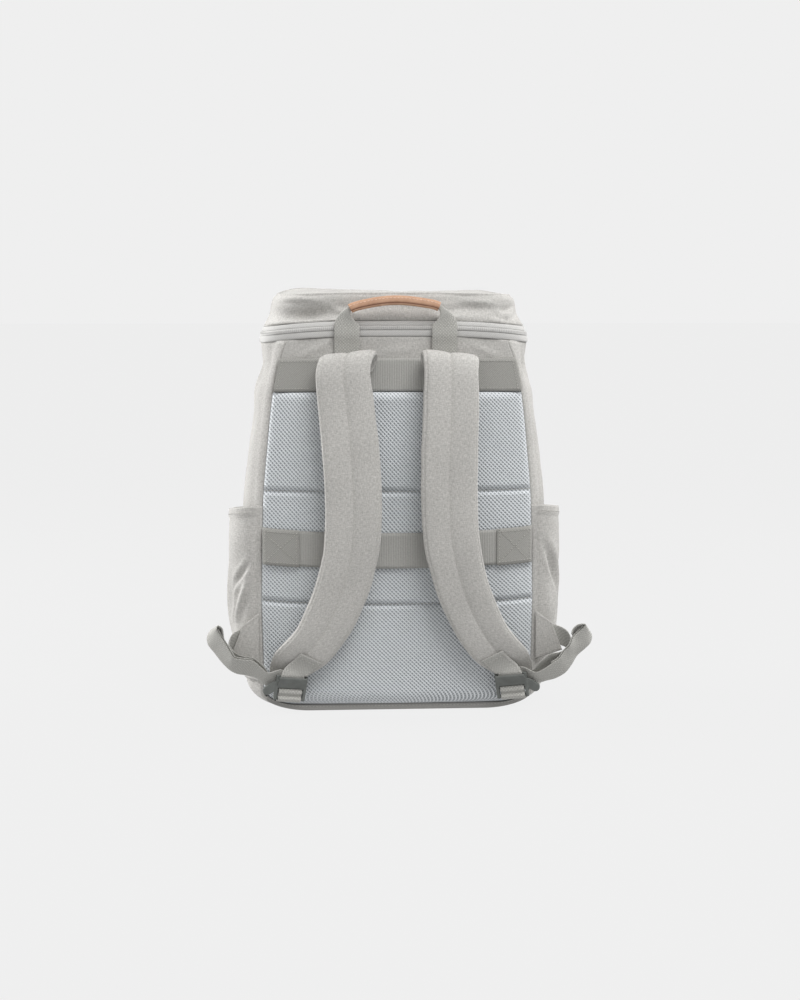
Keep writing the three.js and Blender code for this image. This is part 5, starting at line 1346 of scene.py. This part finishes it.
tab_webbing = ribbed_weave("dark_tab_webbing", *TAB_SHADES, pitch=2.0, tilts=(45, -45), strength=0.4)
acetal = grained_finish("moulded_acetal", *BUCKLE_SHADES, grain=0.7, roughness=0.6)
tab_rows = [(*row, TAB["width"], TAB["thick"]) for row in TAB_ON_STRAP]
tab_rows += [from_buckle((0, y, z, 1, 0, 0), TAB["width"], TAB["thick"]) for y, z in TAB_ROUND_BAR]
tab_stations = stations_along(tab_rows, TAB["steps"])
tab_grid = swept_points(tab_stations, SOFT_STRIP)
tab_front = tab_stations[2] * np.sign(-tab_stations[2][:1, 1])
tab_face = tab_stations[0] + tab_front * TAB["thick"] * TAB_STITCHES["lift"]
tab_edge = tab_stations[1] * TAB["width"] * TAB_STITCHES["edge"]
cross_station = TAB_STITCHES["cross_station"]
cross_shares = np.linspace(-1, 1, TAB_STITCHES["cross_points"])[:, None]
tab_runs = [(tab_face + way * tab_edge)[None, TAB_STITCHES["stations"]] for way in (-1, 1)]
tab_runs.append((tab_face[cross_station] + cross_shares * tab_edge[cross_station])[None])
for side in ("left", "right"):
    tab = closed_sweep(f"strap_tab_{side}_webbing", to_side(tab_grid, side, RIGHT_SHIFT))
    dress(tab, tab_webbing, "webbing", f"strap_tab_{side}")
    sew(f"tab_stitches_{side}", [to_side(run, side, RIGHT_SHIFT)[0] for run in tab_runs], thread, "webbing")
    buckle = moulded_copy(f"ladder_buckle_{side}_moulded", f"ladder_buckle_{side}", voxel=0.42, smoothing=5)
    dress(buckle, acetal, "plastic", f"ladder_buckle_{side}")

# Adjusting webbing: flat cotton webbing from behind the wing tab to the buckle, round its lower bars
# and out again as a loose tail, whose end is folded over and stitched as a stop.
WEBBING_SHADES = ("#9a9994", "#d1d0cb")
WEBBING_THICK = 1.2
WEBBING_STEPS = 330
# Rows: place, direction across, width. First in the bag's frame, then the buckle's, then the bag's
WEBBING_ANCHOR = (
    (-148, -87.4, 76, 0.36, 0, 0.93, 24), (-159, -87.8, 72.5, 0.36, 0, 0.93, 24),
    (-166.5, -92, 68, 0.2, -0.25, 0.94, 24), (-168.4, -97.4, 62, 0.1, -0.5, 0.86, 24),
    (-163.4, -105, 57.4, 0.05, -0.72, 0.68, 24), (-156, -109.8, 54.4, 0.15, -0.76, 0.63, 24),
    (-148, -110.2, 52.2, 0.36, -0.68, 0.63, 24), (-139, -110.2, 46.6, 0.36, -0.72, 0.58, 22),
    (-129.5, -108, 35.6, 0.2, -0.45, 0.86, 17),
)
WEBBING_IN_BUCKLE = (
    (-12, 8.6, 1.6, 0.35, 0, 0.94, 16), (-4, 7.4, -1.5, 0.8, 0, 0.6, 17), (-0.5, 5.6, -7, 1, 0, 0, 21),
    (0, 3.1, -10.5, 1, 0, 0, 24), (0, 0, -13.6, 1, 0, 0, 24), (0, -3.1, -10.5, 1, 0, 0, 24),
    (0, -0.4, -7, 1, 0, 0, 24), (0, -2.7, -3.8, 1, 0, 0, 24), (0, -1.2, -1.1, 1, 0, 0, 24),
    (0, 1.5, -0.6, 1, 0, 0, 24), (0, 3.6, 0.4, 1, 0, 0, 23), (-1.5, 5, 4.6, 0.95, 0, 0.3, 20),
    (-6, 5, 8, 0.7, 0, 0.7, 15), (-13, 4.8, 9.6, 0.3, 0, 0.95, 16),
)
WEBBING_TAILS = {
    "left": (
        (-130.5, -113.8, 37.6, 0.15, -0.6, 0.78, 19), (-139, -114.6, 44.2, 0.34, -0.76, 0.55, 22),
        (-148, -114.8, 49, 0.36, -0.62, 0.7, 24), (-157, -115.6, 50.6, 0.24, -0.66, 0.71, 24),
        (-164.4, -115.8, 53.4, 0.2, -0.74, 0.64, 24), (-170.4, -115, 60.4, 0.36, -0.74, 0.56, 24),
        (-176.6, -113.6, 69.4, 0.46, -0.72, 0.52, 24), (-182, -112, 77, 0.5, -0.7, 0.5, 24),
        (-183.6, -111, 84, 0.42, -0.8, 0.42, 24), (-180.6, -110.4, 88.6, 0.3, -0.9, 0.32, 24),
        (-176.6, -110, 86.8, 0.26, -0.93, 0.26, 24), (-175.4, -109.8, 81.4, 0.26, -0.93, 0.26, 24),
        (-174.8, -109.6, 75.6, 0.26, -0.93, 0.26, 24),
    ),
    "right": (
        (-130.5, -113.8, 35.2, 0.15, -0.65, 0.74, 19), (-140, -115, 38.4, 0.2, -0.7, 0.68, 22),
        (-148.4, -115.2, 42.2, 0.26, -0.62, 0.74, 24), (-157, -114.8, 47.4, 0.36, -0.6, 0.71, 24),
        (-163, -114, 55, 0.42, -0.62, 0.66, 24), (-168.6, -113, 62, 0.42, -0.72, 0.55, 24),
        (-175, -112, 70.2, 0.62, -0.55, 0.56, 24), (-181, -111, 76, 0.5, -0.58, 0.64, 24),
        (-183.6, -110.2, 81.6, 0.4, -0.74, 0.54, 24), (-180.4, -109.6, 85.6, 0.25, -0.9, 0.35, 24),
        (-174, -109.2, 84.6, 0.25, -0.9, 0.35, 24), (-169.4, -109.4, 80.4, 0.25, -0.9, 0.35, 24),
        (-168, -109.6, 76.4, 0.25, -0.9, 0.35, 24),
    ),
}
# The folded end lies on the tail from one of its rows to another, this far above it
TAIL_FOLD = {"first": 2, "last": 8, "above": 2.1, "steps": 110}

webbing = ribbed_weave("flat_cotton_webbing", *WEBBING_SHADES, pitch=2.2, tilts=(45, -45), strength=0.5)
for side in ("left", "right"):
    rows = [(*row, WEBBING_THICK) for row in WEBBING_ANCHOR]
    rows += [from_buckle(row[:6], row[6], WEBBING_THICK) for row in WEBBING_IN_BUCKLE]
    rows += [(*row, WEBBING_THICK) for row in WEBBING_TAILS[side]]
    stations = stations_along(rows, WEBBING_STEPS)
    grid = to_side(swept_points(stations, SOFT_STRIP), side, RIGHT_SHIFT)
    strip = closed_sweep(f"lower_webbing_{side}_woven", grid)
    dress(strip, webbing, "webbing", f"lower_webbing_{side}")
    tail_start = len(rows) - len(WEBBING_TAILS[side])
    first, last = ((tail_start + TAIL_FOLD[key]) / (len(rows) - 1) for key in ("first", "last"))
    centre, across, normal, size = stations_along(rows, TAIL_FOLD["steps"], first, last)
    folded = (centre + TAIL_FOLD["above"] * normal, across, normal, size)
    grid = to_side(swept_points(folded, SOFT_STRIP), side, RIGHT_SHIFT)
    fold = closed_sweep(f"tail_fold_{side}_woven", grid)
    dress(fold, webbing, "webbing")

# Wing tabs: doubled triangles of canvas set into the side seams, which hold the webbing. Their edges are
# turned in and stitched.
# The top and foot edges run outwards from the seam
WING = {"top": ((-138, -90.2, 99), (-154, -91.6, 87)), "foot": ((-138, -90.2, 50), (-165, -92, 59)),
        "thick": 2.2, "rows": 30, "columns": 22, "puff": 0.7, "puff_power": 0.5}
# Rows between the stitches and the edges, and lift off the cloth
WING_STITCHES = {"row": 2, "lift": 0.2}

wing_across = np.linspace(0, 1, WING["columns"])[None, :, None]
wing_up = np.linspace(0, 1, WING["rows"])[:, None, None]
wing_edges = {key: np.array(WING[key], float)[None] for key in ("top", "foot")}
wing_rows = {key: edge[:, :1] + wing_across * (edge[:, 1:] - edge[:, :1]) for key, edge in wing_edges.items()}
wing_grid = wing_rows["foot"] + wing_up * (wing_rows["top"] - wing_rows["foot"])
wing_inside = np.sin(math.pi * wing_across) * np.sin(math.pi * wing_up)
wing_grid = wing_grid - (0, WING["puff"], 0) * wing_inside ** WING["puff_power"]
wing_row = WING_STITCHES["row"]
wing_part = slice(wing_row, -wing_row)
wing_runs = [wing_grid[wing_row, wing_part], wing_grid[-1 - wing_row, wing_part],
             wing_grid[wing_part, -1 - wing_row]]
wing_runs = [run - (0, WING_STITCHES["lift"], 0) for run in wing_runs]
for side in ("left", "right"):
    grid = to_side(wing_grid[:, ::-1], side, 0)
    wing = cloth_grid(f"wing_tab_{side}_cloth", grid, flat_cut(grid))
    give_thickness(wing, WING["thick"])
    dress(wing, cotton, "cotton", f"wing_tab_{side}")
    runs = [to_side(run[None], side, 0)[0] for run in wing_runs]
    sew(f"wing_stitches_{side}", runs, thread, "cotton", pitch=2.8, length=2.0, thickness=0.6)

# Grab handle: a loop of webbing sewn in under the zip, folded narrow at the top and held in a sleeve of
# tan leather that is wrapped round it and saddle-stitched.
# Rows: place, direction across, width and thickness
HANDLE = (
    (-50, -87.7, 351.5, 1, 0, 0, 25, 1.8), (-50, -88.8, 364, 1, 0, 0, 25, 1.8),
    (-50, -91.4, 374, 1, 0, 0, 25, 1.8), (-50, -92.6, 383, 1, 0, -0.05, 24.5, 1.8),
    (-50.2, -93.6, 389.5, 0.95, 0, -0.3, 18, 2.4), (-49.8, -94.8, 394.6, 0.8, 0, -0.6, 9, 3.2),
    (-46.8, -95.6, 399, 0.5, 0, -0.87, 4.6, 3.4), (-28, -96, 404.5, 0.2, 0, -1, 4.6, 3.4),
    (-3, -96.2, 407.3, 0, 0, -1, 4.6, 3.4), (22, -96, 405.2, -0.15, 0, -1, 4.6, 3.4),
    (40, -95.6, 401, -0.4, 0, -0.9, 4.6, 3.4), (44.6, -94.8, 395.2, -0.8, 0, -0.6, 9, 3.2),
    (46, -93.6, 389.5, -0.95, 0, -0.3, 18, 2.4), (46, -92.6, 383, -1, 0, -0.05, 24.5, 1.8),
    (46, -91.4, 374, -1, 0, 0, 25, 1.8), (46, -88.8, 364, -1, 0, 0, 25, 1.8),
    (46, -87.7, 351.5, -1, 0, 0, 25, 1.8),
)
HANDLE_STEPS = 200
# The sleeve covers the handle from one of its rows to another
SLEEVE = {"first": 6, "last": 10, "half_height": 4.6, "half_depth": 3.9, "wall": 1.3}
SLEEVE_STEPS = 120
SLEEVE_SIDES = 48
# Angles round the sleeve are in degrees from its underside. The lap rises before its angle, keeps its height
# for a span after it, and has a groove before it
LAP = {"angle": -52, "rise": 0.55, "before": 7, "span": 30}
LAP_GROOVE = {"depth": 0.5, "before": 10, "reach": 6}
# Lines along the sleeve, with their lift and the stations left out at the ends
SADDLE_LINE = {"angle": -118, "lift": 0.15, "ends": 3}
CUT_EDGE_LINE = {"angle": -61, "lift": 0.05, "ends": 1}
LEATHER_SIZES = {"pore": 0.9, "stain": 7, "relief": 0.2}
LEATHER_SHADES = ("#a3785c", "#cca589")
LEATHER_EDGE_SHADES = ("#6b4630", "#7d5439")
WAXED_SHADES = ("#cba98d", "#e8cdb6")


def tan_leather(name, dark, light):
    """Vegetable-tanned leather, smooth side out. Fine pores and creases break a soft shine, and the tan
    is uneven where hands have darkened it. The pores are drawn at 0.9 mm, coarser than real."""
    material, tree = new_material(name, {})
    place = add_node(tree, "ShaderNodeTexCoord")
    pore = add_node(tree, "ShaderNodeTexVoronoi", {"Scale": 1 / (LEATHER_SIZES["pore"] * MM)},
                    {"Vector": place.outputs["Object"]})
    stain = add_noise(tree, place.outputs["Object"], LEATHER_SIZES["stain"], detail=3.0)
    shade = mix_shades(tree, dark, light, stain)
    shine = add_node(tree, "ShaderNodeMapRange", {"To Min": 0.45, "To Max": 0.7}, {"Value": stain})
    bumpy = add_relief(tree, 0.3, LEATHER_SIZES["relief"], pore.outputs["Distance"])
    to_surface(tree, {"Base Color": shade, "Roughness": shine.outputs["Result"], "Normal": bumpy})
    return material


handle_grid = swept_points(stations_along(HANDLE, HANDLE_STEPS), SOFT_STRIP)
handle_webbing = closed_sweep("handle_webbing_woven", handle_grid)
dress(handle_webbing, webbing, "webbing", "handle_webbing")

leather = tan_leather("vegetable_tanned_leather", *LEATHER_SHADES)
sleeve_ends = [SLEEVE[key] / (len(HANDLE) - 1) for key in ("first", "last")]
sleeve_centre, sleeve_across, sleeve_normal, _ = stations_along(HANDLE, SLEEVE_STEPS, *sleeve_ends)
sleeve_angles = np.linspace(-180, 180, SLEEVE_SIDES, endpoint=False)


def sleeve_points(angles, lift):
    """Points round the sleeve at every station, lifted off its oval."""
    turns = np.radians(np.asarray(angles, float))[None, :, None]
    reach_down = (SLEEVE["half_height"] + lift) * np.cos(turns) * sleeve_across[:, None]
    reach_back = (SLEEVE["half_depth"] + lift) * np.sin(turns) * sleeve_normal[:, None]
    return sleeve_centre[:, None] + reach_down + reach_back


def sleeve_line(angle, lift, ends):
    """A line along the sleeve at one angle, without the stations at its ends."""
    return sleeve_points([angle], lift)[ends:-ends, 0]


lap = LAP["rise"] * smoothstep(sleeve_angles, LAP["angle"] - LAP["before"], LAP["angle"])
lap = lap * (sleeve_angles < LAP["angle"] + LAP["span"])
from_groove = sleeve_angles - LAP["angle"] + LAP_GROOVE["before"]
lap = lap - LAP_GROOVE["depth"] * bell(from_groove, LAP_GROOVE["reach"])
sleeve_grid = sleeve_points(sleeve_angles, lap[None, :, None])
handle_sleeve = cloth_grid("handle_sleeve_leather", sleeve_grid, ring_cut(sleeve_grid), closed=True)
give_thickness(handle_sleeve, SLEEVE["wall"])
dress(handle_sleeve, leather, "leather", "handle_sleeve")
waxed_thread = spun_thread("waxed_tan_thread", *WAXED_SHADES)
sew("handle_stitches", [sleeve_line(**SADDLE_LINE)], waxed_thread, "leather",
    pitch=3.6, length=2.6, thickness=0.8)
# A thin dark strip runs along the cut edge of the lap, in the groove at its foot
dark_lap_edge = tan_leather("dark_lap_edge_strip", *LEATHER_EDGE_SHADES)
sew("sleeve_edge", [sleeve_line(**CUT_EDGE_LINE)], dark_lap_edge, "leather",
    pitch=1.0, length=2.2, thickness=0.9, height=0.9)
